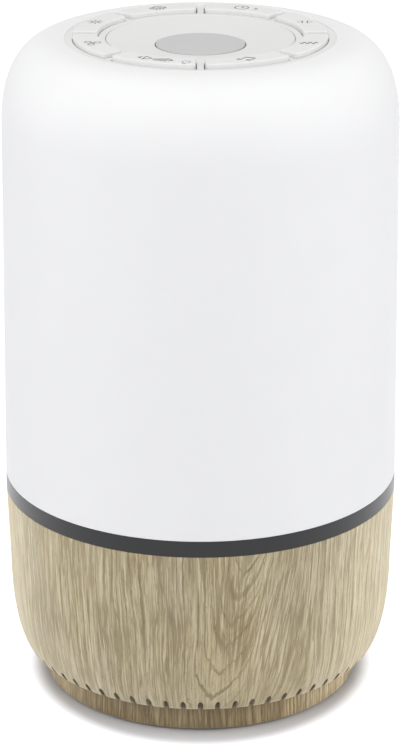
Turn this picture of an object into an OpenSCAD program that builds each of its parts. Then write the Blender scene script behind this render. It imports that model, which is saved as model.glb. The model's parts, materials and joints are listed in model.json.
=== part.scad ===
// White noise sound machine with a glowing dome, a keyed control deck and a vented wood-look base.
// Millimetres, +Z up, the machine stands on z = 0 with its axis on Z and its front towards -Y.

/* [Body] */
// Outside diameter at the accent band
body_d = 100; // [97:0.5:120]
// Height of the wood-look base, from its underside to the band
base_h = 44.4; // [42:0.2:70]
// Height of the charcoal accent band
band_h = 4.2; // [3.4:0.1:8]
// Height of the translucent dome
dome_h = 112.1; // [90:0.5:160]
// Inward draft of the dome, per millimetre of height
dome_draft = 0.0118; // [0:0.0002:0.02]
// Inward draft of the base's upper wall, per millimetre of height
base_draft = 0.037; // [0:0.001:0.045]

/* [Curves] */
// Height of the rounded shoulder at the top of the dome
shoulder_h = 21.6; // [14:0.2:34]
// Fullness of the shoulder, where 2 is an ellipse
shoulder_power = 2.3; // [1.9:0.05:3]
// Height of the rounded lower edge of the base
tuck_h = 24.9; // [16:0.1:32]
// How far the base's lower edge tucks in
tuck_in = 6.46; // [4:0.02:7]
// Fullness of the base's lower edge, where 2 is an ellipse
tuck_power = 2.17; // [1.9:0.01:3]

/* [Walls] */
// Wall of the base shell and of the foot
base_wall = 2.4; // [1.8:0.1:3]
// Wall of the dome
dome_wall = 2.2; // [1.6:0.1:3]
// Thickness of the inner plates and flanges
plate_t = 2.2; // [1.6:0.1:2.8]
// Thickness of the circuit boards
board_t = 1.6; // [0.8:0.1:2]

/* [Foot] */
// Height of the inset foot
foot_h = 7.2; // [6:0.1:14]
// How far the foot stands in from the side of the body
foot_inset = 9.6; // [8:0.1:11]
// How far the anti-slip ring stands below the foot
pad_proud = 0.6; // [0.3:0.1:1.5]
// Thickness of the anti-slip ring
pad_t = 1.7; // [1.2:0.1:2]

/* [Vents] */
// Number of vent slots around the base
vent_count = 66; // [40:1:72]
// Width of a vent slot
vent_w = 1.4; // [1:0.1:1.8]
// Radial length of a vent slot
vent_l = 3.7; // [3:0.1:4.5]
// Height of a vent slot above the base's underside
vent_h = 6.4; // [5:0.1:7]
// Distance from the side of the body to a vent slot's outer end
vent_inset = 3.6; // [3.2:0.1:5]

/* [Control deck] */
// Outside radius of the deck frame
deck_r = 33.2; // [32:0.1:36]
// Width of the deck frame's rim outside the keys
deck_rim_w = 2.1; // [1.6:0.1:2.4]
// Width of a key, from its inner edge to its outer edge
key_w = 6; // [5.4:0.1:6.6]
// Width of the ribs between the keys
rib_w = 1.7; // [1.2:0.1:3]
// Gap between a key and the frame around it
key_gap = 0.25; // [0.2:0.05:0.5]
// How far the keys stand above the deck frame
key_proud = 1.2; // [0.8:0.1:1.8]
// Thickness of a key's cap
key_t = 3; // [2.4:0.1:3.2]
// Corner radius of a key
key_corner_r = 0.8; // [0.7:0.1:2.6]
// Bevel around the top of a key
key_bevel = 0.4; // [0.1:0.05:0.6]
// How far a key or the centre button travels
key_travel = 0.6; // [0.3:0.1:0.7]
// Depth of the concave dish in the middle of the deck
dish_depth = 2.3; // [1.2:0.1:2.6]
// Radius of the centre button
button_r = 10.9; // [8:0.1:12]
// How far the centre button stands above the dish
button_proud = 0.25; // [0.1:0.05:0.6]

/* [Speaker] */
// Distance from the side of the body to the speaker's mounting flange
speaker_inset = 20.5; // [20:0.1:21.2]
// Height from the speaker's flange to its motor
basket_h = 9.3; // [7:0.1:11]
// Radius of the ferrite magnet
magnet_r = 20; // [14:0.5:21]
// Height of the ferrite magnet
magnet_h = 4.5; // [3:0.1:6]
// Height of the sound gap between the base's flange and the speaker plate
sound_gap = 7.8; // [6:0.1:9]

/* [Light] */
// Number of LEDs in the ring
led_count = 12; // [6:1:20]
// Distance from the side of the body to the ring of LEDs
led_inset = 18; // [16:0.5:19]
// Outside radius of the centre post
post_r = 9; // [8.4:0.1:9.5]
// Wall of the centre post
post_wall = 2; // [1.2:0.1:2.4]

/* [Hidden] */
$fn = 96;

// Shared clearances: seats between neighbours, a screw in its pilot hole and in its clearance hole
seat_gap = 0.3;
pilot_gap = 0.05;
screw_pass_gap = 0.25;
// How far a cut runs past the face it opens, and how far joined shapes sink into each other
cut = 1;
overlap = 0.5;
// Wall left at the end of a blind screw hole
blind_wall = 0.8;
curve_steps = 24;

// Height stack, from the surface the machine stands on
body_r = body_d / 2;
base_bottom = pad_proud + foot_h;
base_top = base_bottom + base_h;
band_top = base_top + band_h;
dome_top = band_top + dome_h;
deck_drop = 0.1;
deck_top = dome_top - deck_drop;
key_top = deck_top + key_proud;

// Screws: shaft radius, head radius, head height and, but for the case screws, length under the head
case_screw = [1.5, 2.8, 2];
frame_screw = [1.4, 2.6, 2, 7.5];
board_screw = [1.1, 2.1, 1.4, 5.2];
boss_r = 3;
small_boss_r = 2.6;

// Foot: its floor over the anti-slip ring, and a pillar in its wall over each case screw.
// The pillars stop short of the base, so that the foot's rim takes the clamping.
foot_r = body_r - foot_inset;
floor_over_pad = 1.6;
foot_floor = pad_t + floor_over_pad;
pillar_r = 3.2;
pillar_drop = 0.2;
pillar_in_wall = 0.9;
case_boss_r = foot_r - base_wall - pillar_r + pillar_in_wall;
case_boss_count = 4;
case_boss_a = 45;
case_head_recess = 2.6;
pad_width = 5;
pad_pillar_gap = 1;
pad_gap = 0.15;
pad_out_r = case_boss_r - pillar_r - pad_pillar_gap;
deflector_r = 16;
deflector_h = 6;
deflector_edge = 0.6;
deflector_steps = 8;

// Base shell: flange underneath, ledge near the top
base_knee_z = base_bottom + tuck_h;
base_knee_r = body_r - base_draft * (base_top - base_knee_z);
tuck_inner_h = tuck_h - base_wall;
tuck_inner_in = tuck_in * tuck_inner_h / tuck_h;
flange_top = base_bottom + base_wall;
flange_lip = 0.7;
flange_r = case_boss_r - pillar_r - flange_lip;
ledge_t = 2.2;
ledge_slope_h = 3;
ledge_land = 3.6;
mid_seat = base_top - plate_t;
frame_boss_inset = 8;
frame_boss_r = body_r - frame_boss_inset;
ledge_in_r = frame_boss_r - ledge_land;
ledge_bottom = mid_seat - ledge_t;
vent_out_r = body_r - vent_inset;

// Speaker, standing on its plate and firing down
plate_bottom = flange_top + sound_gap;
plate_top = plate_bottom + plate_t;
plate_inset = 2.8;
plate_r = body_r - base_wall - plate_inset;
case_boss_h = 4.3;
case_boss_top = plate_top + case_boss_h;
gasket_t = 0.8;
gasket_edge = 0.2;
mouth_z = plate_top + gasket_t;
speaker_r = body_r - speaker_inset;
speaker_flange_w = 5.3;
speaker_flange_t = 1.2;
speaker_hole_inset = 1.9;
speaker_hole_r = speaker_r - speaker_hole_inset;
speaker_mouth_r = speaker_r - speaker_flange_w;
surround_lip_w = 1.2;
surround_lip_r = speaker_mouth_r + surround_lip_w;
surround_t = 0.5;
roll_r = 1.9;
roll_centre_r = speaker_mouth_r - roll_r;
cone_gap = 0.2;
cone_out_r = roll_centre_r - roll_r - cone_gap;
cone_lap = 1;
cone_edge = 0.5;
cone_neck_r = 8.4;
cone_t = 0.7;
basket_base = mouth_z + speaker_flange_t;
basket_top = basket_base + basket_h;
basket_taper = 7.2;
basket_neck_r = speaker_mouth_r - basket_taper;
basket_t = 1.2;
basket_window_w = 12;
basket_window_rim = 1.2;
cone_neck_z = basket_top - basket_t - seat_gap;
coil_t = 0.4;
coil_gap_r = 9.6;
front_plate_t = 1.8;
yoke_t = 1.8;
pole_r = 7.6;
magnet_step = 1.5;
magnet_bottom = basket_top + front_plate_t;
magnet_top = magnet_bottom + magnet_h;
cap_r = 8.9;
cap_rise = 3;
cap_t = 0.5;
cap_drop = 0.75;

// Wires: radius, half the distance between the two wires of a pair, and their straight rise
lead_r = 0.6;
lead_pair = 1.2;
lead_rise = 8;
speaker_lead_inset = 1.6;
speaker_lead_a = 200;

// USB-C style power inlet on the back
inlet_w = 8.94;
inlet_h = 3.26;
inlet_l = 7.4;
inlet_metal_t = 0.3;
inlet_window_gap = 0.35;
inlet_inset = 2.6;
inlet_post_h = 3;
inlet_post_r = 2;
inlet_board_t = 1.2;
inlet_board_w = 16;
inlet_board_l = 11;
inlet_board_inset = 4.8;
inlet_board_bottom = plate_top + inlet_post_h;
inlet_board_top = inlet_board_bottom + inlet_board_t;
inlet_z = inlet_board_top + inlet_h / 2;
inlet_mouth_y = body_r - inlet_inset;
inlet_board_y = body_r - inlet_board_inset - inlet_board_l;
inlet_screw_x = 5.5;
inlet_screw_y = inlet_board_y + 2.6;
inlet_wire_y = inlet_board_y + 1.5;
tongue_t = 0.7;
tongue_side = 1.15;
tongue_inset = 1;
tongue_gap = 0.05;

// Main board, hung under the mid frame
main_board_edge = 2.4;
main_boss_h = 3;
main_board_top = mid_seat - main_boss_h;
main_board_bottom = main_board_top - board_t;
main_board_r = ledge_in_r - main_board_edge;
main_hole_inset = 4;
main_hole_r = main_board_r - main_hole_inset;
wire_pad_inset = 10;
wire_pad_r = main_board_r - wire_pad_inset;
// Controller, memory, amplifier and inductor: place around the board, distance in from its edge and sizes
chip_angles = [38, 135, 225, -45];
chip_insets = [12, 13, 12, 13];
chip_lengths = [8, 6, 5, 7];
chip_widths = [10, 6, 5, 7];
chip_heights = [1.4, 1.2, 1.1, 2.4];
capacitor_r = 3;
capacitor_h = 6;
capacitor_inset = 9;
capacitor_angles = [25, 50, 75];

// Mid frame: spigot for the band and the dome, ledge for the reflector tray
spigot_inset = 4;
spigot_wall = 2.4;
spigot_up = 4;
spigot_r = body_r - spigot_inset;
spigot_top = band_top + spigot_up;
tray_up = 5.4;
tray_seat = base_top + tray_up;
tray_t = 1;
tray_ledge_w = 2;
tray_rim_h = 3.2;
tray_rim_w = 1;
tray_slope_w = 3;
tray_bore_gap = 0.4;
frame_boss_top = tray_seat - 0.6;
cable_hole_r = 6.6;

// Centre post
post_boss_inset = 2.6;
post_boss_r = post_r + post_boss_inset;
post_boss_h = 6.8;
post_flange_r = post_boss_r + boss_r + 0.4;

// LED board
led_standoff = 1.8;
led_board_bottom = base_top + led_standoff;
led_board_top = led_board_bottom + board_t;
led_ring_r = body_r - led_inset;
led_board_in_r = post_flange_r + 1;
led_board_out_r = led_ring_r + 5;
led_hole_r = led_ring_r - 8;
led_hole_a = 30;
led_size = [3.5, 2.8, 1.4];
led_window_r = 2.6;
led_lead_hole_r = 2.4;
led_lead_r = led_board_in_r + 3.5;
led_lead_a = 60;

// Control deck
deck_gap = 0.1;
dome_edge_r = deck_r + deck_gap;
dome_flat_w = 2.1;
dome_web_r = dome_edge_r + dome_wall;
dome_knee_z = dome_top - shoulder_h;
dome_knee_r = body_r - dome_draft * (dome_h - shoulder_h);
deck_rim_t = 3.5;
deck_step_w = 1.6;
deck_under_r = deck_r - deck_step_w;
dome_ledge_top = deck_top - deck_rim_t;
dome_ledge_bottom = dome_ledge_top - plate_t;
dome_ledge_gap = 0.2;
dome_ledge_r = deck_under_r + dome_ledge_gap;
key_ring_r = deck_r - deck_rim_w;
key_hole_r = key_ring_r - key_w;
key_side_gap = key_gap - 0.05;
key_under_gap = 0.2;
channel_floor = key_top - key_t - key_travel - key_under_gap;
deck_under = channel_floor - plate_t;
inner_ring_w = 1.75;
dish_edge_gap = 0.1;
dish_r = key_hole_r - key_side_gap - inner_ring_w - dish_edge_gap;
dish_edge_t = 0.8;
dish_seat = deck_top - dish_depth - dish_edge_t;
dish_gap = 0.25;
dish_steps = 16;
dish_sphere_r = (dish_r * dish_r + dish_depth * dish_depth) / (2 * dish_depth);
button_flange_w = 1.4;
button_flange_t = 0.7;
button_flange_top = dish_seat - seat_gap;
deck_hole_r = button_r + button_flange_w + 0.9;
deck_boss_r = 2.8;

// Key stems: each runs in a bore of the deck, and its collar snaps in below the bore
stem_r = 1.5;
stem_gap = 0.08;
stem_inset = 2.2;
stem_ring_r = key_hole_r + stem_inset;
stem_below = 1.6;
stem_end = deck_under - stem_below;
collar_r = 2.1;
key_pitch = 45;
first_key_a = -67.5;
// Turn between a key's corner arc and the long arc that it meets
corner_step = 20;

// Button board and its switches
switch_w = 6;
switch_h = 3.5;
switch_floor = 0.9;
plunger_r = 1.7;
plunger_gap = 0.1;
plunger_up = 0.9;
plunger_l = 2.6;
button_board_top = stem_end - plunger_up - switch_h;
button_board_bottom = button_board_top - board_t;
button_board_edge = 0.6;
button_board_r = dome_ledge_r - button_board_edge;
deck_boss_inset = 8.3;
deck_boss_ring_r = stem_ring_r - deck_boss_inset;
post_top = button_board_bottom;
post_top_flange_r = deck_boss_ring_r + frame_screw[1] + 1;

// Ribbon cable inside the post
connector_size = [11, 4, 3.5];
ribbon_w = 10;
ribbon_t = 0.5;

// ---- helpers ----

// Quarter of a superellipse from [a, 0] to [0, b]
function bulge(a, b, power) = [
    for (i = [0:curve_steps]) let (t = 90 * i / curve_steps)
        [a * pow(cos(t), 2 / power), b * pow(sin(t), 2 / power)]
];

// The same list from its last point to its first
function reversed(list) = [for (i = [len(list) - 1:-1:0]) list[i]];

// Height of the concave dish at radius r
function dish_z(r) = deck_top - dish_depth + dish_sphere_r - sqrt(dish_sphere_r * dish_sphere_r - r * r);

// Points on an arc about a centre
function arc(c, r, a0, a1, n) = [
    for (i = [0:n]) let (a = a0 + (a1 - a0) * i / n) [c[0] + r * cos(a), c[1] + r * sin(a)]
];

module ring(r_in, r_out, z0, z1) {
    rotate_extrude() translate([r_in, z0]) square([r_out - r_in, z1 - z0]);
}

module disc(r, z0, z1) {
    translate([0, 0, z0]) cylinder(r = r, h = z1 - z0);
}

// Copies of the children on a circle about the Z axis
module around(count, r, a0 = 0) {
    for (i = [0:count - 1]) rotate(a0 + 360 * i / count) translate([r, 0, 0]) children();
}

// Holes that a screw passes through, and that it cuts its thread in
module pass_hole(screw, z0, z1) {
    disc(screw[0] + screw_pass_gap, z0, z1);
}

module pilot_hole(screw, z0, z1) {
    disc(screw[0] + pilot_gap, z0, z1);
}

// A screw with its head's seat at z = 0, its head above and its shaft below
module screw(size, length) {
    translate([0, 0, -length]) cylinder(r = size[0], h = length + overlap);
    difference() {
        cylinder(r = size[1], h = size[2]);
        translate([0, 0, size[2] / 2]) cylinder(r = size[1] / 2, h = size[2], $fn = 6);
    }
}

// The same screw driven from below, with its head under z = 0
module screw_from_below(size, length) {
    mirror([0, 0, 1]) screw(size, length);
}

// A flat slot's outline, w wide and h high, with round ends
module slot_2d(w, h) {
    square([w - h, h], center = true);
    for (side = [-1, 1]) translate([side * (w - h) / 2, 0]) circle(d = h);
}

// A round wire along a Bezier curve through four control points
module lead(p, r = lead_r, steps = 12, sides = 8) {
    function point(t) = pow(1 - t, 3) * p[0] + 3 * t * pow(1 - t, 2) * p[1]
        + 3 * t * t * (1 - t) * p[2] + pow(t, 3) * p[3];
    function unit(v) = v / norm(v);
    function along(i) = unit(point(min(1, (i + 0.5) / steps)) - point(max(0, (i - 0.5) / steps)));
    side = unit(cross(p[3] - p[0], [0.31, 0.87, 0.13]));
    rings = [for (i = [0:steps]) let (u = unit(cross(along(i), side)), v = cross(u, along(i)))
        for (k = [0:sides - 1]) point(i / steps) + r * (u * cos(360 * k / sides) + v * sin(360 * k / sides))];
    walls = [for (i = [0:steps - 1], k = [0:sides - 1]) let (n = (k + 1) % sides)
        [i * sides + k, i * sides + n, (i + 1) * sides + n, (i + 1) * sides + k]];
    ends = [[for (k = [sides - 1:-1:0]) k], [for (k = [0:sides - 1]) steps * sides + k]];
    polyhedron(points = rings, faces = concat(walls, ends), convexity = 4);
}

// ---- base and foot ----

// Outer and inner outlines of the base wall, from the knee down to the flange
base_outer = [for (p = bulge(tuck_in, tuck_h, tuck_power))
    [base_knee_r - tuck_in + p[0], base_knee_z - p[1]]];
base_inner = [for (p = bulge(tuck_inner_in, tuck_inner_h, tuck_power))
    [base_knee_r - base_wall - tuck_inner_in + p[0], base_knee_z - p[1]]];

module vent_slots() {
    translate([0, 0, base_bottom - cut])
        linear_extrude(vent_h + cut)
            around(vent_count, vent_out_r - vent_w / 2, -90) {
                circle(d = vent_w);
                translate([-vent_l + vent_w / 2, -vent_w / 2]) square([vent_l - vent_w / 2, vent_w]);
            }
}

module base_shell() {
    inner_r = body_r - base_wall;
    color([0.74, 0.66, 0.52])
    difference() {
        union() {
            rotate_extrude() polygon(concat(
                [[body_r, base_top]],
                base_outer,
                [[flange_r, base_bottom], [flange_r, flange_top]],
                reversed(base_inner),
                [[inner_r, ledge_bottom - ledge_slope_h], [ledge_in_r, ledge_bottom],
                 [ledge_in_r, mid_seat], [inner_r, mid_seat], [inner_r, base_top]]
            ));
            around(case_boss_count, case_boss_r, case_boss_a)
                disc(pillar_r, flange_top - overlap, plate_bottom);
        }
        vent_slots();
        around(case_boss_count, case_boss_r, case_boss_a)
            pass_hole(case_screw, base_bottom - cut, plate_bottom + cut);
        around(4, frame_boss_r) {
            pass_hole(frame_screw, ledge_bottom - ledge_slope_h, mid_seat + cut);
            disc(frame_screw[1] + screw_pass_gap, ledge_bottom - ledge_slope_h - cut, ledge_bottom);
        }
        translate([0, body_r + cut, inlet_z]) rotate([90, 0, 0])
            linear_extrude(base_wall + inlet_board_inset)
                slot_2d(inlet_w + 2 * inlet_window_gap, inlet_h + 2 * inlet_window_gap);
    }
}

module foot_plinth() {
    color([0.70, 0.62, 0.48])
    difference() {
        union() {
            rotate_extrude() polygon([
                [0, pad_proud], [foot_r, pad_proud], [foot_r, base_bottom],
                [foot_r - base_wall, base_bottom], [foot_r - base_wall, foot_floor], [0, foot_floor]
            ]);
            around(case_boss_count, case_boss_r, case_boss_a)
                disc(pillar_r, foot_floor - overlap, base_bottom - pillar_drop);
        }
        ring(pad_out_r - pad_width - pad_gap, pad_out_r + pad_gap, pad_proud - cut, pad_t);
        around(case_boss_count, case_boss_r, case_boss_a) {
            pass_hole(case_screw, pad_proud - cut, base_bottom + cut);
            disc(case_screw[1] + screw_pass_gap, pad_proud - cut, pad_proud + case_head_recess);
        }
    }
}

module anti_slip_ring() {
    color([0.16, 0.16, 0.16]) ring(pad_out_r - pad_width, pad_out_r, 0, pad_t);
}

// Flared cone on the foot's floor that turns the downward sound out to the vents
module sound_deflector() {
    edge_z = foot_floor + deflector_edge;
    color([0.2, 0.2, 0.2])
    rotate_extrude() polygon(concat(
        [[0, foot_floor], [deflector_r, foot_floor]],
        [for (i = [0:deflector_steps]) let (t = i / deflector_steps)
            [deflector_r * (1 - t), edge_z + (deflector_h - deflector_edge) * t * t]]
    ));
}

// ---- speaker ----

module speaker_plate() {
    color([0.24, 0.24, 0.25])
    difference() {
        union() {
            ring(surround_lip_r + gasket_edge, plate_r, plate_bottom, plate_top);
            around(case_boss_count, case_boss_r, case_boss_a) disc(boss_r, plate_top - overlap, case_boss_top);
            for (side = [-1, 1]) translate([side * inlet_screw_x, inlet_screw_y, 0])
                disc(inlet_post_r, plate_top - overlap, inlet_board_bottom);
        }
        around(case_boss_count, case_boss_r, case_boss_a)
            pilot_hole(case_screw, plate_bottom - cut, case_boss_top - blind_wall);
        around(4, speaker_hole_r) pilot_hole(board_screw, plate_bottom - cut, plate_top + cut);
        for (side = [-1, 1]) translate([side * inlet_screw_x, inlet_screw_y, 0])
            pilot_hole(board_screw, plate_bottom + blind_wall, inlet_board_bottom + cut);
    }
}

module speaker_gasket() {
    color([0.1, 0.1, 0.1])
    difference() {
        ring(surround_lip_r + gasket_edge, speaker_r - gasket_edge, plate_top, mouth_z);
        around(4, speaker_hole_r) pass_hole(board_screw, plate_top - cut, mouth_z + cut);
    }
}

module speaker_frame() {
    color([0.35, 0.36, 0.38])
    difference() {
        union() {
            ring(speaker_mouth_r, speaker_r, mouth_z, basket_base);
            rotate_extrude() polygon([
                [speaker_mouth_r, mouth_z + speaker_flange_t / 2],
                [speaker_mouth_r + basket_t, mouth_z + speaker_flange_t / 2],
                [basket_neck_r, basket_top], [basket_neck_r - basket_t, basket_top]
            ]);
            ring(coil_gap_r, basket_neck_r, basket_top - basket_t, basket_top);
        }
        around(4, speaker_hole_r) pass_hole(board_screw, mouth_z - cut, basket_base + cut);
        around(4, basket_neck_r + basket_window_rim, 45)
            translate([0, -basket_window_w / 2, basket_base + basket_window_rim])
                cube([basket_taper, basket_window_w, basket_h - 3 * basket_window_rim]);
    }
}

// Rubber edge with a half roll between the frame and the cone
module speaker_surround() {
    flat_z = mouth_z - surround_t;
    roll_out_r = roll_centre_r + roll_r - surround_t / 2;
    roll_in_r = roll_centre_r - roll_r + surround_t / 2;
    color([0.08, 0.08, 0.08])
    rotate_extrude() {
        translate([roll_out_r, flat_z]) square([surround_lip_r - roll_out_r, surround_t]);
        translate([cone_out_r - cone_lap, flat_z]) square([roll_in_r - cone_out_r + cone_lap, surround_t]);
        polygon(concat(
            arc([roll_centre_r, flat_z], roll_r + surround_t / 2, 180, 360, 12),
            arc([roll_centre_r, flat_z], roll_r - surround_t / 2, 360, 180, 12)
        ));
    }
}

module speaker_cone() {
    color([0.15, 0.15, 0.15])
    rotate_extrude() polygon([
        [cone_out_r - cone_edge, mouth_z], [cone_out_r, mouth_z], [cone_out_r, mouth_z + cone_edge],
        [cone_neck_r, cone_neck_z], [cone_neck_r, cone_neck_z - cone_t]
    ]);
}

module speaker_dust_cap() {
    cap_sphere_r = (cap_r * cap_r + cap_rise * cap_rise) / (2 * cap_rise);
    half = asin(cap_r / cap_sphere_r);
    rim_z = cone_neck_z - cone_t - cap_drop;
    centre = [0, rim_z - cap_rise + cap_sphere_r];
    color([0.12, 0.12, 0.12])
    rotate_extrude() polygon(concat(
        arc(centre, cap_sphere_r, 270, 270 + half, 8),
        arc(centre, cap_sphere_r - cap_t, 270 + half, 270, 8)
    ));
}

// Coil former that hangs on the cone's neck and reaches into the magnet gap
module voice_coil() {
    color([0.72, 0.45, 0.2])
    ring(cone_neck_r - coil_t, cone_neck_r, cone_neck_z - cone_t, magnet_bottom);
}

module speaker_magnet() {
    color([0.18, 0.18, 0.2])
    ring(coil_gap_r + magnet_step, magnet_r, magnet_bottom, magnet_top);
}

// Front plate, back plate and pole of the speaker's motor
module speaker_yoke() {
    color([0.6, 0.61, 0.63]) {
        ring(coil_gap_r, magnet_r - magnet_step, basket_top, magnet_bottom);
        disc(magnet_r - magnet_step, magnet_top, magnet_top + yoke_t);
        disc(pole_r, basket_top, magnet_top + overlap);
    }
}

// Two wires from the speaker's flange up to the main board
module speaker_leads() {
    start_r = speaker_mouth_r + speaker_lead_inset;
    color([0.7, 0.1, 0.1])
    rotate(speaker_lead_a) for (side = [-1, 1]) translate([0, side * lead_pair, 0])
        lead([[start_r, 0, basket_base], [start_r, 0, basket_base + lead_rise],
              [wire_pad_r, 0, main_board_bottom - lead_rise], [wire_pad_r, 0, main_board_bottom]]);
}

// ---- power inlet ----

module inlet_shell() {
    color([0.75, 0.76, 0.78])
    translate([0, inlet_mouth_y, inlet_z]) rotate([90, 0, 0])
    difference() {
        linear_extrude(inlet_l) slot_2d(inlet_w, inlet_h);
        translate([0, 0, -cut]) linear_extrude(inlet_l)
            slot_2d(inlet_w - 2 * inlet_metal_t, inlet_h - 2 * inlet_metal_t);
    }
}

// Contact tongue, and the plug of plastic that holds it at the back of the metal shell
module inlet_tongue() {
    plug_inset = inlet_metal_t + tongue_gap;
    color([0.08, 0.08, 0.08])
    translate([0, inlet_mouth_y - tongue_inset, inlet_z]) rotate([90, 0, 0]) {
        linear_extrude(inlet_l - 2 * tongue_inset)
            square([inlet_w - 2 * tongue_side, tongue_t], center = true);
        translate([0, 0, inlet_l - 3 * tongue_inset]) linear_extrude(tongue_inset)
            slot_2d(inlet_w - 2 * plug_inset, inlet_h - 2 * plug_inset);
    }
}

module inlet_board() {
    color([0.1, 0.35, 0.2])
    difference() {
        translate([-inlet_board_w / 2, inlet_board_y, inlet_board_bottom])
            cube([inlet_board_w, inlet_board_l, inlet_board_t]);
        for (side = [-1, 1]) translate([side * inlet_screw_x, inlet_screw_y, 0])
            pass_hole(board_screw, plate_top, inlet_board_top + cut);
    }
}

module inlet_leads() {
    color([0.15, 0.15, 0.15])
    for (side = [-1, 1]) translate([side * lead_pair, 0, 0])
        lead([[0, inlet_wire_y, inlet_board_top], [0, inlet_wire_y, inlet_board_top + lead_rise],
              [0, wire_pad_r, main_board_bottom - lead_rise], [0, wire_pad_r, main_board_bottom]]);
}

// ---- main board and mid frame ----

module main_board() {
    color([0.1, 0.35, 0.2])
    difference() {
        disc(main_board_r, main_board_bottom, main_board_top);
        around(4, main_hole_r) pass_hole(board_screw, main_board_bottom - cut, main_board_top + cut);
    }
}

module main_board_parts() {
    color([0.12, 0.12, 0.13]) {
        for (i = [0:len(chip_angles) - 1])
            rotate(chip_angles[i]) translate([main_board_r - chip_insets[i], -chip_widths[i] / 2, main_board_top])
                cube([chip_lengths[i], chip_widths[i], chip_heights[i]]);
        for (a = capacitor_angles) rotate(a) translate([main_board_r - capacitor_inset, 0, 0])
            disc(capacitor_r, main_board_bottom - capacitor_h, main_board_bottom);
    }
}

module mid_frame() {
    side_r = body_r - base_wall - seat_gap;
    spigot_in_r = spigot_r - spigot_wall;
    color([0.9, 0.9, 0.88])
    difference() {
        union() {
            rotate_extrude() polygon([
                [cable_hole_r, mid_seat], [side_r, mid_seat], [side_r, base_top], [spigot_r, base_top],
                [spigot_r, spigot_top], [spigot_in_r, spigot_top], [spigot_in_r, tray_seat],
                [spigot_in_r - tray_ledge_w, tray_seat], [spigot_in_r - tray_ledge_w, base_top],
                [cable_hole_r, base_top]
            ]);
            around(4, frame_boss_r) disc(boss_r, mid_seat, frame_boss_top);
            around(4, main_hole_r) disc(small_boss_r, main_board_top, mid_seat + overlap);
            around(3, led_hole_r, led_hole_a) disc(small_boss_r, base_top - overlap, led_board_bottom);
        }
        around(4, frame_boss_r) pilot_hole(frame_screw, mid_seat - cut, frame_boss_top - blind_wall);
        around(3, post_boss_r, 90) pass_hole(frame_screw, mid_seat - cut, base_top + cut);
        around(4, main_hole_r) pilot_hole(board_screw, main_board_top - cut, base_top - blind_wall);
        around(3, led_hole_r, led_hole_a) pilot_hole(board_screw, mid_seat - cut, led_board_bottom + cut);
        around(1, led_lead_r, led_lead_a) disc(led_lead_hole_r, mid_seat - cut, base_top + cut);
    }
}

module accent_band() {
    color([0.25, 0.255, 0.25]) ring(spigot_r + seat_gap, body_r, base_top, band_top);
}

// ---- light ----

module led_board() {
    color([0.93, 0.93, 0.9])
    difference() {
        ring(led_board_in_r, led_board_out_r, led_board_bottom, led_board_top);
        around(3, led_hole_r, led_hole_a) pass_hole(board_screw, led_board_bottom - cut, led_board_top + cut);
    }
}

module leds() {
    color([0.98, 0.93, 0.6])
    around(led_count, led_ring_r, 180 / led_count)
        translate([-led_size[0] / 2, -led_size[1] / 2, led_board_top]) cube(led_size);
}

module led_leads() {
    color([0.8, 0.8, 0.8])
    around(1, led_lead_r, led_lead_a) for (side = [-1, 1]) translate([0, side * lead_pair, 0])
        disc(lead_r, main_board_top, led_board_bottom);
}

// White tray over the LED board, with a window over each LED and a raised rim
module reflector_tray() {
    tray_r = spigot_r - spigot_wall - seat_gap;
    tray_in_r = post_flange_r + tray_bore_gap;
    rim_top = tray_seat + tray_rim_h;
    floor_top = tray_seat + tray_t;
    color([0.97, 0.97, 0.96])
    difference() {
        rotate_extrude() polygon([
            [tray_in_r, tray_seat], [tray_r, tray_seat], [tray_r, rim_top], [tray_r - tray_rim_w, rim_top],
            [tray_r - tray_rim_w - tray_slope_w, floor_top], [tray_in_r, floor_top]
        ]);
        around(led_count, led_ring_r, 180 / led_count) disc(led_window_r, tray_seat - cut, floor_top + cut);
    }
}

// Hollow column from the mid frame to the deck, which carries the deck and guides the ribbon cable
module centre_post() {
    tube_in_r = post_r - post_wall;
    post_boss_top = base_top + post_boss_h;
    color([0.95, 0.95, 0.94])
    difference() {
        union() {
            ring(tube_in_r, post_flange_r, base_top, base_top + plate_t);
            ring(tube_in_r, post_r, base_top, post_top);
            ring(tube_in_r, post_top_flange_r, post_top - plate_t, post_top);
            around(3, post_boss_r, 90) disc(boss_r, base_top, post_boss_top);
        }
        disc(tube_in_r, base_top - cut, post_top + cut);
        around(3, post_boss_r, 90) pilot_hole(frame_screw, base_top - cut, post_boss_top - blind_wall);
        around(4, deck_boss_ring_r) pass_hole(frame_screw, post_top - plate_t - cut, post_top + cut);
    }
}

module ribbon_cable() {
    color([0.82, 0.82, 0.8])
    translate([-ribbon_w / 2, -ribbon_t / 2, main_board_top + connector_size[2]])
        cube([ribbon_w, ribbon_t, button_board_bottom - main_board_top - 2 * connector_size[2]]);
}

module ribbon_connectors() {
    color([0.93, 0.92, 0.86])
    for (z = [main_board_top, button_board_bottom - connector_size[2]])
        translate([-connector_size[0] / 2, -connector_size[1] / 2, z]) cube(connector_size);
}

// ---- dome ----

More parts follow.
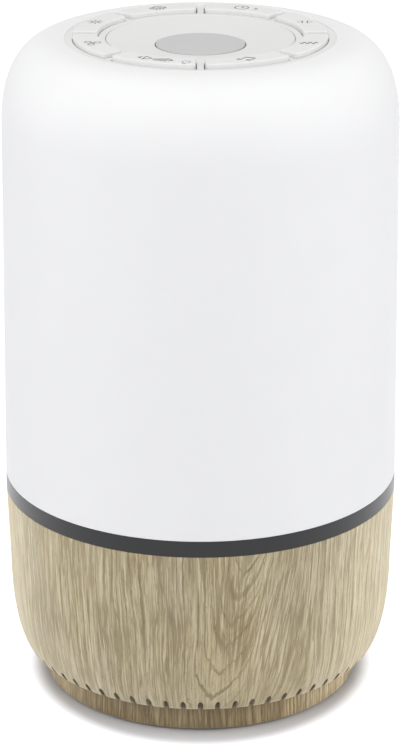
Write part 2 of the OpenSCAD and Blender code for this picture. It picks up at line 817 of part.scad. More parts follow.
module diffuser_dome() {
    top_in = dome_knee_r - dome_edge_r - dome_flat_w;
    inner_in = dome_knee_r - dome_wall - dome_web_r;
    rabbet_top = spigot_top - cut;
    inner_low_r = body_r - dome_wall - dome_draft * (spigot_top - band_top);
    outer = [for (p = bulge(top_in, shoulder_h, shoulder_power))
        [dome_knee_r - top_in + p[0], dome_knee_z + p[1]]];
    inner = [for (p = bulge(inner_in, shoulder_h - dome_wall, shoulder_power))
        [dome_knee_r - dome_wall - inner_in + p[0], dome_knee_z + p[1]]];
    color([0.97, 0.97, 0.97])
    rotate_extrude() polygon(concat(
        [[body_r, band_top]],
        outer,
        [[dome_edge_r, dome_top], [dome_edge_r, dome_ledge_top], [dome_ledge_r, dome_ledge_top],
         [dome_ledge_r, dome_ledge_bottom], [dome_web_r, dome_ledge_bottom]],
        reversed(inner),
        [[inner_low_r, rabbet_top], [spigot_r + seat_gap, rabbet_top], [spigot_r + seat_gap, band_top]]
    ));
}

// ---- control deck ----

module deck_frame() {
    channel_out_r = key_ring_r + key_side_gap;
    channel_in_r = key_hole_r - key_side_gap;
    ring_in_r = channel_in_r - inner_ring_w;
    rib_in_r = ring_in_r + 0.2;
    rib_out_r = channel_out_r + 0.4;
    color([0.88, 0.88, 0.87])
    difference() {
        union() {
            rotate_extrude() polygon([
                [deck_hole_r, deck_under], [deck_under_r, deck_under], [deck_under_r, dome_ledge_top],
                [deck_r, dome_ledge_top], [deck_r, deck_top], [channel_out_r, deck_top],
                [channel_out_r, channel_floor], [channel_in_r, channel_floor], [channel_in_r, deck_top],
                [ring_in_r, deck_top], [ring_in_r, dish_seat], [deck_hole_r, dish_seat]
            ]);
            around(8, rib_in_r, -90)
                translate([0, -rib_w / 2, channel_floor - overlap])
                    cube([rib_out_r - rib_in_r, rib_w, deck_top - channel_floor + overlap]);
            around(4, deck_boss_ring_r) disc(deck_boss_r, button_board_top, deck_under + overlap);
        }
        around(8, stem_ring_r, first_key_a) disc(stem_r + stem_gap, deck_under - cut, channel_floor + cut);
        around(4, deck_boss_ring_r) pilot_hole(frame_screw, button_board_top - cut, deck_under);
    }
}

module dish_plate() {
    inner_r = button_r + dish_gap;
    color([0.89, 0.89, 0.88])
    rotate_extrude() polygon(concat(
        [[inner_r, dish_seat], [dish_r, dish_seat]],
        [for (i = [dish_steps:-1:0]) let (r = inner_r + (dish_r - inner_r) * i / dish_steps) [r, dish_z(r)]]
    ));
}

module centre_button() {
    flange_r = button_r + button_flange_w;
    flange_bottom = button_flange_top - button_flange_t;
    color([0.78, 0.78, 0.78]) {
        rotate_extrude() polygon(concat(
            [[0, flange_bottom], [flange_r, flange_bottom], [flange_r, button_flange_top],
             [button_r, button_flange_top]],
            [for (i = [dish_steps:-1:0]) let (r = button_r * i / dish_steps) [r, dish_z(r) + button_proud]]
        ));
        disc(stem_r, stem_end, button_flange_top);
    }
}

// Half of a key's outline about its own centre line: inner corner, then outer corner
function key_half(inset) = let (
    r_in = key_hole_r + inset,
    r_out = key_ring_r - inset,
    side = rib_w / 2 + key_gap + inset,
    rc = key_corner_r - inset,
    in_c = [sqrt(pow(r_in + rc, 2) - pow(side + rc, 2)), side + rc],
    out_c = [sqrt(pow(r_out - rc, 2) - pow(side + rc, 2)), side + rc],
    in_a = atan2(in_c[1], in_c[0]),
    out_a = atan2(out_c[1], out_c[0])
) concat(
    arc([0, 0], r_in, key_pitch / 2, in_a, 5),
    arc(in_c, rc, 180 + in_a + corner_step, 270, 3),
    arc(out_c, rc, 270, 360 + out_a - corner_step, 3),
    arc([0, 0], r_out, out_a, key_pitch / 2, 6)
);

// Whole outline: the half and its mirror image about the key's centre line
function key_outline(inset) = let (half = key_half(inset)) concat(
    half,
    [for (i = [len(half) - 2:-1:1]) let (a = key_pitch - atan2(half[i][1], half[i][0]), r = norm(half[i]))
        [r * cos(a), r * sin(a)]]
);

// One key: a cap with a bevelled top edge on a round stem with a snap collar.
// The index counts anticlockwise from the front.
module key(index) {
    low = key_outline(0);
    high = key_outline(key_bevel);
    count = len(low);
    points = concat(
        [for (p = low) [p[0], p[1], key_top - key_t]],
        [for (p = low) [p[0], p[1], key_top - key_bevel]],
        [for (p = high) [p[0], p[1], key_top]]
    );
    walls = [for (level = [0, 1], i = [0:count - 1]) let (n = (i + 1) % count)
        [level * count + n, level * count + i, (level + 1) * count + i, (level + 1) * count + n]];
    bottom = [for (i = [0:count - 1]) i];
    top = [for (i = [count - 1:-1:0]) 2 * count + i];
    color([0.9, 0.9, 0.89])
    rotate(first_key_a + key_pitch * index) {
        rotate(-key_pitch / 2) polyhedron(points = points, faces = concat(walls, [bottom, top]));
        translate([stem_ring_r, 0, 0]) {
            disc(stem_r, stem_end, key_top - key_t + overlap);
            disc(collar_r, stem_end, deck_under - seat_gap);
        }
    }
}

module plunger(index) {
    rotate(first_key_a + key_pitch * index) translate([stem_ring_r, 0, 0]) centre_plunger();
}

module centre_plunger() {
    color([0.85, 0.8, 0.3]) disc(plunger_r, stem_end - plunger_l, stem_end);
}

module button_board() {
    color([0.1, 0.35, 0.2])
    difference() {
        disc(button_board_r, button_board_bottom, button_board_top);
        around(4, deck_boss_ring_r) pass_hole(frame_screw, button_board_bottom - cut, button_board_top + cut);
    }
}

module switch_housing() {
    difference() {
        translate([-switch_w / 2, -switch_w / 2, button_board_top]) cube([switch_w, switch_w, switch_h]);
        disc(plunger_r + plunger_gap, button_board_top + switch_floor, button_board_top + switch_h + cut);
    }
}

module switch_housings() {
    color([0.15, 0.15, 0.16]) {
        around(8, stem_ring_r, first_key_a) switch_housing();
        switch_housing();
    }
}

// ---- screws ----

// Long screws through the foot and the base's bosses into the speaker plate
module case_screws() {
    seat = pad_proud + case_head_recess;
    color([0.7, 0.7, 0.72])
    around(case_boss_count, case_boss_r, case_boss_a) translate([0, 0, seat])
        screw_from_below(case_screw, case_boss_top - 2 * blind_wall - seat);
}

// Base to mid frame, post to mid frame and post to deck
module frame_screws() {
    length = frame_screw[3];
    color([0.7, 0.7, 0.72]) {
        around(4, frame_boss_r) translate([0, 0, ledge_bottom]) screw_from_below(frame_screw, length);
        around(3, post_boss_r, 90) translate([0, 0, mid_seat]) screw_from_below(frame_screw, length);
        around(4, deck_boss_ring_r) translate([0, 0, post_top - plate_t]) screw_from_below(frame_screw, length);
    }
}

// Speaker, power inlet, main board and LED board
module board_screws() {
    length = board_screw[3];
    color([0.7, 0.7, 0.72]) {
        around(4, speaker_hole_r) translate([0, 0, basket_base]) screw(board_screw, length);
        for (side = [-1, 1])
            translate([side * inlet_screw_x, inlet_screw_y, inlet_board_top]) screw(board_screw, length);
        around(4, main_hole_r) translate([0, 0, main_board_bottom]) screw_from_below(board_screw, length);
        around(3, led_hole_r, led_hole_a) translate([0, 0, led_board_top]) screw(board_screw, length);
    }
}

base_shell();
foot_plinth();
anti_slip_ring();
sound_deflector();
speaker_plate();
speaker_gasket();
speaker_frame();
speaker_surround();
speaker_cone();
speaker_dust_cap();
voice_coil();
speaker_magnet();
speaker_yoke();
speaker_leads();
inlet_shell();
inlet_tongue();
inlet_board();
inlet_leads();
main_board();
main_board_parts();
mid_frame();
accent_band();
led_board();
leds();
led_leads();
reflector_tray();
centre_post();
ribbon_cable();
ribbon_connectors();
diffuser_dome();
deck_frame();
dish_plate();
centre_button();
button_board();
switch_housings();
case_screws();
frame_screws();
board_screws();
key(0);  // melody_key
key(1);  // wave_key
key(2);  // light_key
key(3);  // timer_key
key(4);  // cloud_key
key(5);  // sun_key
key(6);  // fan_key
key(7);  // level_key
plunger(0);  // melody_plunger
plunger(1);  // wave_plunger
plunger(2);  // light_plunger
plunger(3);  // timer_plunger
plunger(4);  // cloud_plunger
plunger(5);  // sun_plunger
plunger(6);  // fan_plunger
plunger(7);  // level_plunger
centre_plunger();
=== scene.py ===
import json
import math
import bpy
from mathutils import Matrix, Vector

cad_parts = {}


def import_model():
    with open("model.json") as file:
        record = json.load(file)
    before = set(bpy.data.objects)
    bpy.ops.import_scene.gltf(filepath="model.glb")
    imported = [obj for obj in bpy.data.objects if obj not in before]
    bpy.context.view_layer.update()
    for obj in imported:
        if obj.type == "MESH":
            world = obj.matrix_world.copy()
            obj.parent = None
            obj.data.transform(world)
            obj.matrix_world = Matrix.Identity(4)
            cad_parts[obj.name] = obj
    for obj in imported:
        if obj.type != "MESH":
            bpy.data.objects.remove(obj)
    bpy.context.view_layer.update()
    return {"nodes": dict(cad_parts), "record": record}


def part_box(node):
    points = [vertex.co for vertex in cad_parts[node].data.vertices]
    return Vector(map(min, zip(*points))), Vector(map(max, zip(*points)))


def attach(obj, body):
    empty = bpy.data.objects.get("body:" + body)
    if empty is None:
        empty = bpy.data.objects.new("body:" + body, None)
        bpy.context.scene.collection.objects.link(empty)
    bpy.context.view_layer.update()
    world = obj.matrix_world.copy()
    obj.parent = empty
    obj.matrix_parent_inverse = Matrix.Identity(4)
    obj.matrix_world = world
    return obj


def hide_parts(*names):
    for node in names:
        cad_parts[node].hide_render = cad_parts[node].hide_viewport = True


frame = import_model()

# White noise sound machine. Sizes are in mm and turn into metres where a mesh is made.
MM = 0.001


# ---- sizes taken from the frame ----

def low(node, axis=2):
    """Lowest coordinate of a CAD node along an axis, in mm."""
    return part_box(node)[0][axis] / MM


def high(node, axis=2):
    """Highest coordinate of a CAD node along an axis, in mm."""
    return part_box(node)[1][axis] / MM


BODY_R = high("accent_band", 0)
FOOT_R = high("foot_plinth", 0)
FOOT_BOTTOM = low("foot_plinth")
BASE_BOTTOM = low("base_shell")
BASE_TOP = high("base_shell")
BAND_TOP = high("accent_band")
DOME_TOP = high("diffuser_dome")
DECK_R = high("deck_frame", 0)
DECK_TOP = high("deck_frame")
DISH_R = high("dish_plate", 0)
DISH_SEAT = low("dish_plate")
STEM_END = low("centre_button")
KEY_TOP = high("level_key")
INLET_Z = (low("inlet_shell") + high("inlet_shell")) / 2

# ---- sizes of the shapes, as the CAD has them ----

# Base, with its edge tucked inward below a knee
BASE_WALL = 2.4
BASE_DRAFT = 0.037
TUCK_H = 24.9
TUCK_IN = 6.46
TUCK_POWER = 2.17
KNEE_Z = BASE_BOTTOM + TUCK_H
KNEE_R = BODY_R - BASE_DRAFT * (BASE_TOP - KNEE_Z)
FLANGE_R = 31.8
LEDGE_R = 38.4
LEDGE_T = 2.2
LEDGE_SLOPE = 3.0
MID_FRAME_T = 2.2

# Vent slots, and the window for the power inlet
VENT_COUNT = 66
VENT_W = 1.4
VENT_L = 3.7
VENT_H = 6.4
VENT_INSET = 3.6
VENT_OUT_R = BODY_R - VENT_INSET
INLET_W = 8.94
INLET_H = 3.26
INLET_GAP = 0.35
INLET_CUT_DEPTH = 8.0

# Foot, with a groove for the anti-slip ring
FOOT_FLOOR = 3.3
PAD_R_IN = 26.35
PAD_R_OUT = 31.65
PAD_T = 1.7
CASE_SCREW_COUNT = 4
CASE_SCREW_R = 36.0
CASE_SCREW_HOLE_R = 3.05

# Dome
DOME_WALL = 2.2
DOME_DRAFT = 0.0118
SHOULDER_H = 21.6
SHOULDER_POWER = 2.3
DOME_FLAT_W = 2.1
SEAM_GAP = 0.01
DOME_EDGE_R = DECK_R + SEAM_GAP
DOME_LEDGE_T = 2.2
SPIGOT_R = 46.3
RABBET_H = 3.0
RABBET_TOP = BAND_TOP + RABBET_H

# Keys and the channel they move in
KEY_COUNT = 8
KEY_PITCH = math.radians(360 / KEY_COUNT)
FIRST_KEY = math.radians(-67.5)
DECK_RIM_W = 2.1
KEY_W = 6.0
KEY_OUT_R = DECK_R - DECK_RIM_W
KEY_IN_R = KEY_OUT_R - KEY_W
KEY_RIB_GAP = 0.25
KEY_RING_GAP = 0.2
KEY_T = 3.0
KEY_TRAVEL = 0.6
KEY_UNDER_GAP = 0.2
KEY_CORNER_R = 0.8
STEM_R = 1.5
STEM_INSET = 2.2
STEM_RING_R = KEY_IN_R + STEM_INSET
CHANNEL_FLOOR = KEY_TOP - KEY_T - KEY_TRAVEL - KEY_UNDER_GAP
CHANNEL_OUT_R = KEY_OUT_R + KEY_RING_GAP
CHANNEL_IN_R = KEY_IN_R - KEY_RING_GAP

# Deck frame
DECK_RIM_T = 3.5
DECK_STEP_W = 1.6
DECK_STEP_R = DECK_R - DECK_STEP_W
DECK_SEAT_GAP = 0.2
DECK_PLATE_T = 2.2
DECK_UNDER = CHANNEL_FLOOR - DECK_PLATE_T
DECK_HOLE_R = 13.2
INNER_RING_W = 1.75
INNER_RING_R = CHANNEL_IN_R - INNER_RING_W
RIB_W = 1.7
RIB_SUNK = 0.5
RIB_LAP = 0.3
RIB_IN_R = INNER_RING_R + RIB_LAP
RIB_OUT_R = CHANNEL_OUT_R + RIB_SUNK

# Dish and centre button
DISH_EDGE_T = 0.8
DISH_DEPTH = DECK_TOP - DISH_SEAT - DISH_EDGE_T
DISH_SPHERE_R = (DISH_R ** 2 + DISH_DEPTH ** 2) / (2 * DISH_DEPTH)
DISH_GAP = 0.25
BUTTON_R = 10.9
DISH_IN_R = BUTTON_R + DISH_GAP
BUTTON_PROUD = 0.25
BUTTON_FLANGE_R = 12.3
BUTTON_FLANGE_T = 0.7
BUTTON_FLANGE_GAP = 0.3
BUTTON_FLANGE_TOP = DISH_SEAT - BUTTON_FLANGE_GAP

# Fillets of softened edges
EDGE = 0.15
FOOT_EDGE = 0.5
KEY_EDGE = 0.4
DECK_EDGE = 0.2
DISH_EDGE = 0.32
SEAM_EDGE = 0.02
BUTTON_EDGE = 0.25

# Printed marks: thickness, how far they stand above a key, and widths of their lines
PRINT_T = 0.03
PRINT_PROUD = 0.015
PRINT_LINE = 0.32
LAMP_LINE = 0.2
SHADE_LINE = 0.26
BAR_LINE = 0.34
BOLD_LINE = 0.36
WAVE_LINE = 0.4
BEAM_LINE = 0.5

# Facets: those of the base are a whole number to each vent
BASE_STEPS = VENT_COUNT * 6
BODY_STEPS = 256
DECK_STEPS = 192
TUCK_STEPS = 28
SHOULDER_STEPS = 40
SHOULDER_INNER_STEPS = 24
DISH_STEPS = 24
SLOT_STEPS = 10
HOLE_STEPS = 24
STEM_STEPS = 16
FILLET_STEPS = 5
KEY_ARC_STEPS = 12
KEY_INNER_CORNER_STEPS = 5
KEY_OUTER_CORNER_STEPS = 7
KEY_EDGE_STEPS = 5
SYMBOL_STEPS = 20
NOTE_STEPS = 16
ARC_STEPS = 12
CLOUD_STEPS = 8
WAVE_STEPS = 36
SMOOTH_ANGLE = math.radians(38)

# How far a cutter starts outside what it cuts, and the radius below which a point lies on the axis
CUT = 1.0
TINY = 1e-6


# ---- meshes: a part is a pair of lists, points in mm and faces ----

def bulge(width, height, power, steps):
    """Quarter of a superellipse from (width, 0) to (0, height)."""
    turns = [math.pi / 2 * i / steps for i in range(steps + 1)]
    return [(width * max(0.0, math.cos(t)) ** (2 / power), height * math.sin(t) ** (2 / power))
            for t in turns]


def arc(centre, radius, start, end, steps):
    """Points on an arc, from angle start to angle end."""
    angles = [start + (end - start) * i / steps for i in range(steps + 1)]
    return [(centre[0] + radius * math.cos(a), centre[1] + radius * math.sin(a)) for a in angles]


def circle(x, y, radius, steps):
    """Points on a circle."""
    return arc((x, y), radius, 0, math.tau * (steps - 1) / steps, steps - 1)


def rounded(corners):
    """A closed outline in which a corner (x, y, fillet) becomes an arc, and (x, y) stays sharp."""
    outline = []
    for i, corner in enumerate(corners):
        if len(corner) == 2:
            outline.append(corner)
            continue
        here = Vector(corner[:2])
        fillet = corner[2]
        back = (Vector(corners[i - 1][:2]) - here).normalized()
        ahead = (Vector(corners[(i + 1) % len(corners)][:2]) - here).normalized()
        half = back.angle(ahead) / 2
        reach = fillet / math.tan(half)
        centre = here + (back + ahead).normalized() * fillet / math.sin(half)
        first = here + back * reach - centre
        last = here + ahead * reach - centre
        for k in range(FILLET_STEPS + 1):
            spoke = first.lerp(last, k / FILLET_STEPS).normalized()
            outline.append(tuple(centre + spoke * fillet))
    return outline


def revolve(profile, steps):
    """A closed profile of (radius, height) turned about the Z axis."""
    points = []
    rows = []
    for radius, z in profile:
        if radius < TINY:
            rows.append([len(points)] * steps)
            points.append((0.0, 0.0, z))
            continue
        rows.append([len(points) + k for k in range(steps)])
        points += [(x, y, z) for x, y in circle(0, 0, radius, steps)]
    faces = []
    for i, row in enumerate(rows):
        after = rows[(i + 1) % len(rows)]
        for k in range(steps):
            n = (k + 1) % steps
            face = list(dict.fromkeys([row[k], row[n], after[n], after[k]]))
            if len(face) > 2:
                faces.append(face)
    return points, faces


def stack(outlines, heights):
    """Closed outlines with as many points each, one above the other, with a cap at both ends."""
    count = len(outlines[0])
    points = [(x, y, z) for outline, z in zip(outlines, heights) for x, y in outline]
    faces = [list(range(count - 1, -1, -1))]
    for level in range(len(outlines) - 1):
        for i in range(count):
            n = (i + 1) % count
            a = level * count
            faces.append([a + i, a + n, a + count + n, a + count + i])
    faces.append([(len(outlines) - 1) * count + i for i in range(count)])
    return points, faces


def extrude(outline, z0, z1):
    """A straight prism."""
    return stack([outline, outline], [z0, z1])


def placed(part, matrix):
    """The part moved by a matrix."""
    points, faces = part
    return [tuple(matrix @ Vector(p)) for p in points], faces


def joined(parts):
    """Several parts as one."""
    points = []
    faces = []
    for part_points, part_faces in parts:
        start = len(points)
        points += part_points
        faces += [[start + i for i in face] for face in part_faces]
    return points, faces


def spaced(count, start=0.0):
    """Angles spread evenly over a full turn."""
    return [start + math.tau * i / count for i in range(count)]


def around(part, count, start=0.0):
    """Copies of the part on a circle about the Z axis."""
    return joined([placed(part, Matrix.Rotation(a, 4, "Z")) for a in spaced(count, start)])


def linked(name, data):
    """A new object in the scene."""
    piece = bpy.data.objects.new(name, data)
    bpy.context.scene.collection.objects.link(piece)
    return piece


def make(name, part):
    """A Blender object from a part, with its faces turned outwards."""
    points, faces = part
    mesh = bpy.data.meshes.new(name)
    mesh.from_pydata([(x * MM, y * MM, z * MM) for x, y, z in points], [], faces)
    piece = linked(name, mesh)
    bpy.context.view_layer.objects.active = piece
    piece.select_set(True)
    bpy.ops.object.mode_set(mode="EDIT")
    bpy.ops.mesh.select_all(action="SELECT")
    bpy.ops.mesh.normals_make_consistent(inside=False)
    bpy.ops.object.mode_set(mode="OBJECT")
    piece.select_set(False)
    return piece


def carve(piece, part, operation="DIFFERENCE"):
    """Cuts a part out of a piece, or joins it on."""
    tool = make("tool", part)
    step = piece.modifiers.new("carve", "BOOLEAN")
    step.operation = operation
    step.solver = "MANIFOLD"
    step.object = tool
    shaped = piece.evaluated_get(bpy.context.evaluated_depsgraph_get())
    mesh = bpy.data.meshes.new_from_object(shaped)
    piece.modifiers.clear()
    piece.data = mesh
    bpy.data.objects.remove(tool)


def dress(piece, finish, body, slot, *nodes):
    """Smooth shading, finish, the body that a piece rides on and the nodes that it stands for."""
    piece.data.shade_smooth()
    piece.data.set_sharp_from_angle(angle=SMOOTH_ANGLE)
    weigh = piece.modifiers.new("normals", "WEIGHTED_NORMAL")
    weigh.keep_sharp = True
    piece.data.materials.clear()
    piece.data.materials.append(finish.material)
    if nodes:
        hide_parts(*nodes)
    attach(piece, body)


# ---- materials ----

# The span that holds nearly all of a noise's numbers, and a narrower one for more contrast
WIDE_SPAN = (0.3, 0.7)
NARROW_SPAN = (0.35, 0.65)

# Features per mm of faint mottling, and how far the roughness of plastic strays
MOTTLE_SIZE = 0.07
GLOSS_STRAY = 0.04

# Sockets of the mix node that belong to colours
MIX_FIRST = 6
MIX_SECOND = 7
MIX_RESULT = 2


def srgb(red, green, blue):
    """A colour given as 0 to 255, as Blender's linear numbers."""
    return tuple(linear(c / 255) for c in (red, green, blue)) + (1.0,)


def linear(value):
    """One sRGB channel from 0 to 1 as a linear number."""
    if value <= 0.04045:
        return value / 12.92
    return ((value + 0.055) / 1.055) ** 2.4


def shaded(tone, share):
    """A colour at a share of its strength."""
    return tuple(c * share for c in tone[:3]) + (1.0,)


class Signal:
    """A node's number, so that a material's sums read as formulas."""

    def __init__(self, finish, socket):
        self.finish = finish
        self.socket = socket

    def __add__(self, other):
        return self.finish.calc("ADD", self, other)

    def __sub__(self, other):
        return self.finish.calc("SUBTRACT", self, other)

    def __rsub__(self, other):
        return self.finish.calc("SUBTRACT", other, self)

    def __mul__(self, other):
        return self.finish.calc("MULTIPLY", self, other)

    def __truediv__(self, other):
        return self.finish.calc("DIVIDE", self, other)

    def __pow__(self, other):
        return self.finish.calc("POWER", self, other)

    def __abs__(self):
        return self.finish.calc("ABSOLUTE", self)


class Finish:
    """A node material. Most methods add one node, from numbers or signals, and return its output."""

    def __init__(self, name):
        self.material = bpy.data.materials.new(name)
        self.material.use_nodes = True
        self.tree = self.material.node_tree
        self.shader = self.tree.nodes["Principled BSDF"]
        self.place = self.add("ShaderNodeTexCoord").outputs["Object"]

    def add(self, kind, **settings):
        node = self.tree.nodes.new(kind)
        for key, value in settings.items():
            setattr(node, key, value)
        return node

    def feed(self, socket, value):
        """Links a signal or an output to a socket, or sets a plain number or colour on it."""
        if isinstance(value, Signal):
            value = value.socket
        if isinstance(value, bpy.types.NodeSocket):
            self.tree.links.new(value, socket)
        else:
            socket.default_value = value

    def calc(self, operation, *values):
        node = self.add("ShaderNodeMath", operation=operation)
        for socket, value in zip(node.inputs, values):
            self.feed(socket, value)
        return Signal(self, node.outputs[0])

    def scaled(self, vector, x, y, z):
        """A vector multiplied per axis."""
        node = self.add("ShaderNodeVectorMath", operation="MULTIPLY")
        self.feed(node.inputs[0], vector)
        node.inputs[1].default_value = (x, y, z)
        return node.outputs[0]

    def stretch(self, x, y, z):
        """The piece's own coordinates in mm, multiplied per axis."""
        return self.scaled(self.place, x / MM, y / MM, z / MM)

    def split(self, vector):
        node = self.add("ShaderNodeSeparateXYZ")
        self.feed(node.inputs[0], vector)
        return [Signal(self, output) for output in node.outputs]

    def vector(self, x, y, z):
        node = self.add("ShaderNodeCombineXYZ")
        for socket, value in zip(node.inputs, (x, y, z)):
            self.feed(socket, value)
        return node.outputs[0]

    def noise(self, vector, detail=2.0, roughness=0.5, distortion=0.0):
        """Noise from 0 to 1, about 0.5 on average, with features about one unit of the vector wide."""
        node = self.add("ShaderNodeTexNoise")
        self.feed(node.inputs["Vector"], vector)
        node.inputs["Scale"].default_value = 1.0
        node.inputs["Detail"].default_value = detail
        node.inputs["Roughness"].default_value = roughness
        node.inputs["Distortion"].default_value = distortion
        return Signal(self, node.outputs[0])

    def field(self, across, up, detail=2.0, roughness=0.5):
        """Noise in the piece's own coordinates, with so many features per mm sideways and upwards."""
        return self.noise(self.stretch(across, across, up), detail, roughness)

    def ramp(self, value, *stops):
        """A colour ramp through (position, colour) stops."""
        node = self.add("ShaderNodeValToRGB")
        elements = node.color_ramp.elements
        while len(elements) < len(stops):
            elements.new(0.5)
        for element, (position, colour) in zip(elements, stops):
            element.position = position
            element.color = colour
        self.feed(node.inputs[0], value)
        return node.outputs[0]

    def band(self, value, start, end, low_value=0.0, high_value=1.0):
        """A number that goes smoothly from low_value to high_value as value goes from start to end."""
        node = self.add("ShaderNodeMapRange", interpolation_type="SMOOTHSTEP")
        for socket, number in zip(node.inputs, (value, start, end, low_value, high_value)):
            self.feed(socket, number)
        return Signal(self, node.outputs[0])

    def mix(self, amount, first, second, blend="MIX"):
        """Two colours mixed: amount 0 gives the first and 1 the second, or the blend of both."""
        node = self.add("ShaderNodeMix", data_type="RGBA", blend_type=blend)
        self.feed(node.inputs[0], amount)
        self.feed(node.inputs[MIX_FIRST], first)
        self.feed(node.inputs[MIX_SECOND], second)
        return node.outputs[MIX_RESULT]

    def colour(self, value):
        self.feed(self.shader.inputs["Base Color"], value)

    def rough(self, value):
        self.feed(self.shader.inputs["Roughness"], value)

    def set(self, name, value):
        """A number that is the same all over the surface."""
        self.shader.inputs[name].default_value = value

    def bump(self, height, depth, strength=1.0):
        """Relief of the given depth in mm."""
        node = self.add("ShaderNodeBump")
        node.inputs["Strength"].default_value = strength
        node.inputs["Distance"].default_value = depth * MM
        self.feed(node.inputs["Height"], height)
        self.tree.links.new(node.outputs[0], self.shader.inputs["Normal"])


def plastic(name, tone, roughness, grain=2.7, depth=0.012, spread=0.04):
    """Moulded plastic: mottling as dark as the spread says, a fine grain and slightly uneven gloss."""
    finish = Finish(name)
    clouds = finish.field(MOTTLE_SIZE, MOTTLE_SIZE, detail=3.0)
    fine = finish.field(grain, grain)
    finish.colour(finish.mix(finish.band(clouds, *WIDE_SPAN), shaded(tone, 1 - spread), tone))
    finish.rough(finish.band(fine, *WIDE_SPAN, roughness - GLOSS_STRAY, roughness + GLOSS_STRAY))
    finish.bump(fine, depth)
    return finish


def metal(name, tone, roughness, brush=(0.4, 0.4, 6.0)):
    """Plated or drawn metal with fine draw marks."""
    finish = Finish(name)
    marks = finish.noise(finish.stretch(*brush), detail=4.0)
    finish.colour(finish.mix(finish.band(marks, *NARROW_SPAN), shaded(tone, 0.82), tone))
    finish.rough(finish.band(marks, *WIDE_SPAN, roughness - 0.06, roughness + 0.08))
    finish.set("Metallic", 1.0)
    finish.bump(marks, 0.01)
    return finish


def rubber(name, tone, roughness=0.75):
    """Matt rubber or foam with a soft, dusty grain."""
    finish = plastic(name, tone, roughness, grain=4.8, depth=0.03, spread=0.12)
    finish.set("Sheen Weight", 0.15)
    finish.set("Specular IOR Level", 0.3)
    return finish


def board(name, tone, track):
    """Lacquered circuit board with faint copper areas under the lacquer."""
    finish = Finish(name)
    areas = finish.band(finish.field(0.35, 0.35, detail=0.0), 0.49, 0.51)
    fine = finish.field(2.0, 2.0)
    finish.colour(finish.mix(areas, tone, track))
    finish.rough(finish.band(fine, *WIDE_SPAN, 0.28, 0.4))
    finish.bump(areas, 0.03)
    return finish


def fibre(name, tone):
    """Pressed paper pulp."""
    finish = Finish(name)
    place = finish.stretch(1.2, 1.2, 4.0)
    strands = finish.noise(place, detail=5.0, roughness=0.65, distortion=1.5)
    finish.colour(finish.mix(finish.band(strands, *NARROW_SPAN), shaded(tone, 0.6), tone))
    finish.rough(finish.band(strands, *WIDE_SPAN, 0.75, 0.9))
    finish.bump(strands, 0.08)
    return finish


# Arched figure of the wood, in mm: its axis and lean, how far the lean reaches to the right, half the width
# of its arches, how much they widen and rise, the height of one of their tips and the gap to the next
FIGURE_X = 7.9
FIGURE_Z = 35.0
FIGURE_LEAN = 0.22
FIGURE_LEAN_FULL = 7.0
FIGURE_LEAN_FADE = 12.0
FIGURE_REACH = 26.0
ARCH_HALF = 7.6
ARCH_WIDEN = 0.11
ARCH_RISE = 7.5
ARCH_TIP_Z = 19.0
ARCH_GAP = 7.0
ARCH_EDGE = 0.74
ARCH_STEEPEST = 0.04
ARCH_UNEVEN = 1.6
RING_W = 2.3
RING_UNEVEN = 2.0

# How far the grain wanders sideways and how ragged it is, in mm
DRIFT_W = 4.0
SWAY_W = 1.8
ARCH_SWAY_W = 1.4
GRAIN_JAG = 0.5
ARCH_JAG = 3.4

# Noises of the wood: features per mm across and up
DRIFT_SIZE = (0.035, 0.02)
SWAY_SIZE = (0.16, 0.035)
JAG_SIZE = (1.0, 0.35)
FADE_SIZE = (0.14, 0.05)
DASH_SIZE = (4.2, 0.4)
BROAD_SIZE = (0.2, 0.014)
CLOUD_SIZE = (0.06, 0.03)
FLOW_SIZE = (1.1, 0.05)
STREAK_SIZE = (2.6, 0.075)
WAVE_SIZE = 0.4
RING_SIZE = 0.2
ARCH_SIZE = 0.09

# Seeds that keep noises apart, and hairlines: features per mm across and up, and a seed
ARCH_SEED = 2.0
WAVE_SEED = 5.0
FINE_HAIRS = (0.8, 0.035, 9.0)
DENSE_HAIRS = (1.5, 0.06, 14.0)

# A line's phases: where it is full, where it starts to fade and where it ends
RING_PHASES = (0.1, 0.12, 0.26)
TIP_PHASES = (0.05, 0.08, 0.28)

# Spans of noise in which lines fade in, hairlines lie and pores open
FADE_SPAN = (0.38, 0.6)
HAIR_SPAN = (0.07, 0.015)
PORE_SPAN = (-0.03, 0.06)

# The least strength of lines, with what the arches add to it, and how pores crowd on the lines
FAINT_LINES = 0.15
FAINT_ARCHES = 0.5
PORE_LEVEL = 0.31
PORE_CROWD = 0.14

# Layers of the colour: where each starts and ends in its noise, and its strength at both
BROAD = (0.48, 0.66, 0.0, 0.4)
DARK_STREAKS = (0.49, 0.36, 0.0, 0.5)
LIGHT_STREAKS = (0.53, 0.66, 0.0, 0.6)
FINE_HAIR_SHARE = (0.62, 0.4, 0.15, 0.75)
DENSE_HAIR_SHARE = (0.4, 0.6, 0.1, 0.55)

# Layers of an even strength, and where the three tones lie in the noise that they follow
WAVES_SHARE = 0.6
LINE_SHARE = 0.9
PORE_SHARE = 0.6
CAST_SHARE = 0.6
TONE_STOPS = (0.32, 0.45, 0.6)

# Painted light that makes the flanks paler, in mm round from the front, and how far it goes: start, end, and
# the strength at both
RIGHT_FLANK = (24.0, 58.0, 0.0, 0.8)
LEFT_FLANK = (-36.0, -68.0, 0.0, 0.5)
NOT_BACK = (130.0, 85.0)
FOOT_RIGHT_FLANK = (12.0, 42.0)
FOOT_LEFT_FLANK = (-28.0, -46.0, 0.0, 0.75)
FOOT_ENDS = (58.0, 72.0, 1.0, 0.2)

# Painted shade on the foot by its height, and painted shade in recesses by their depth below the skin, in
# the same form
FOOT_SHADE = (3.0, BASE_BOTTOM, 0.0, 0.45)
RECESS_SHADE_DEPTH = (0.12, 0.6, 0.0, 0.9)
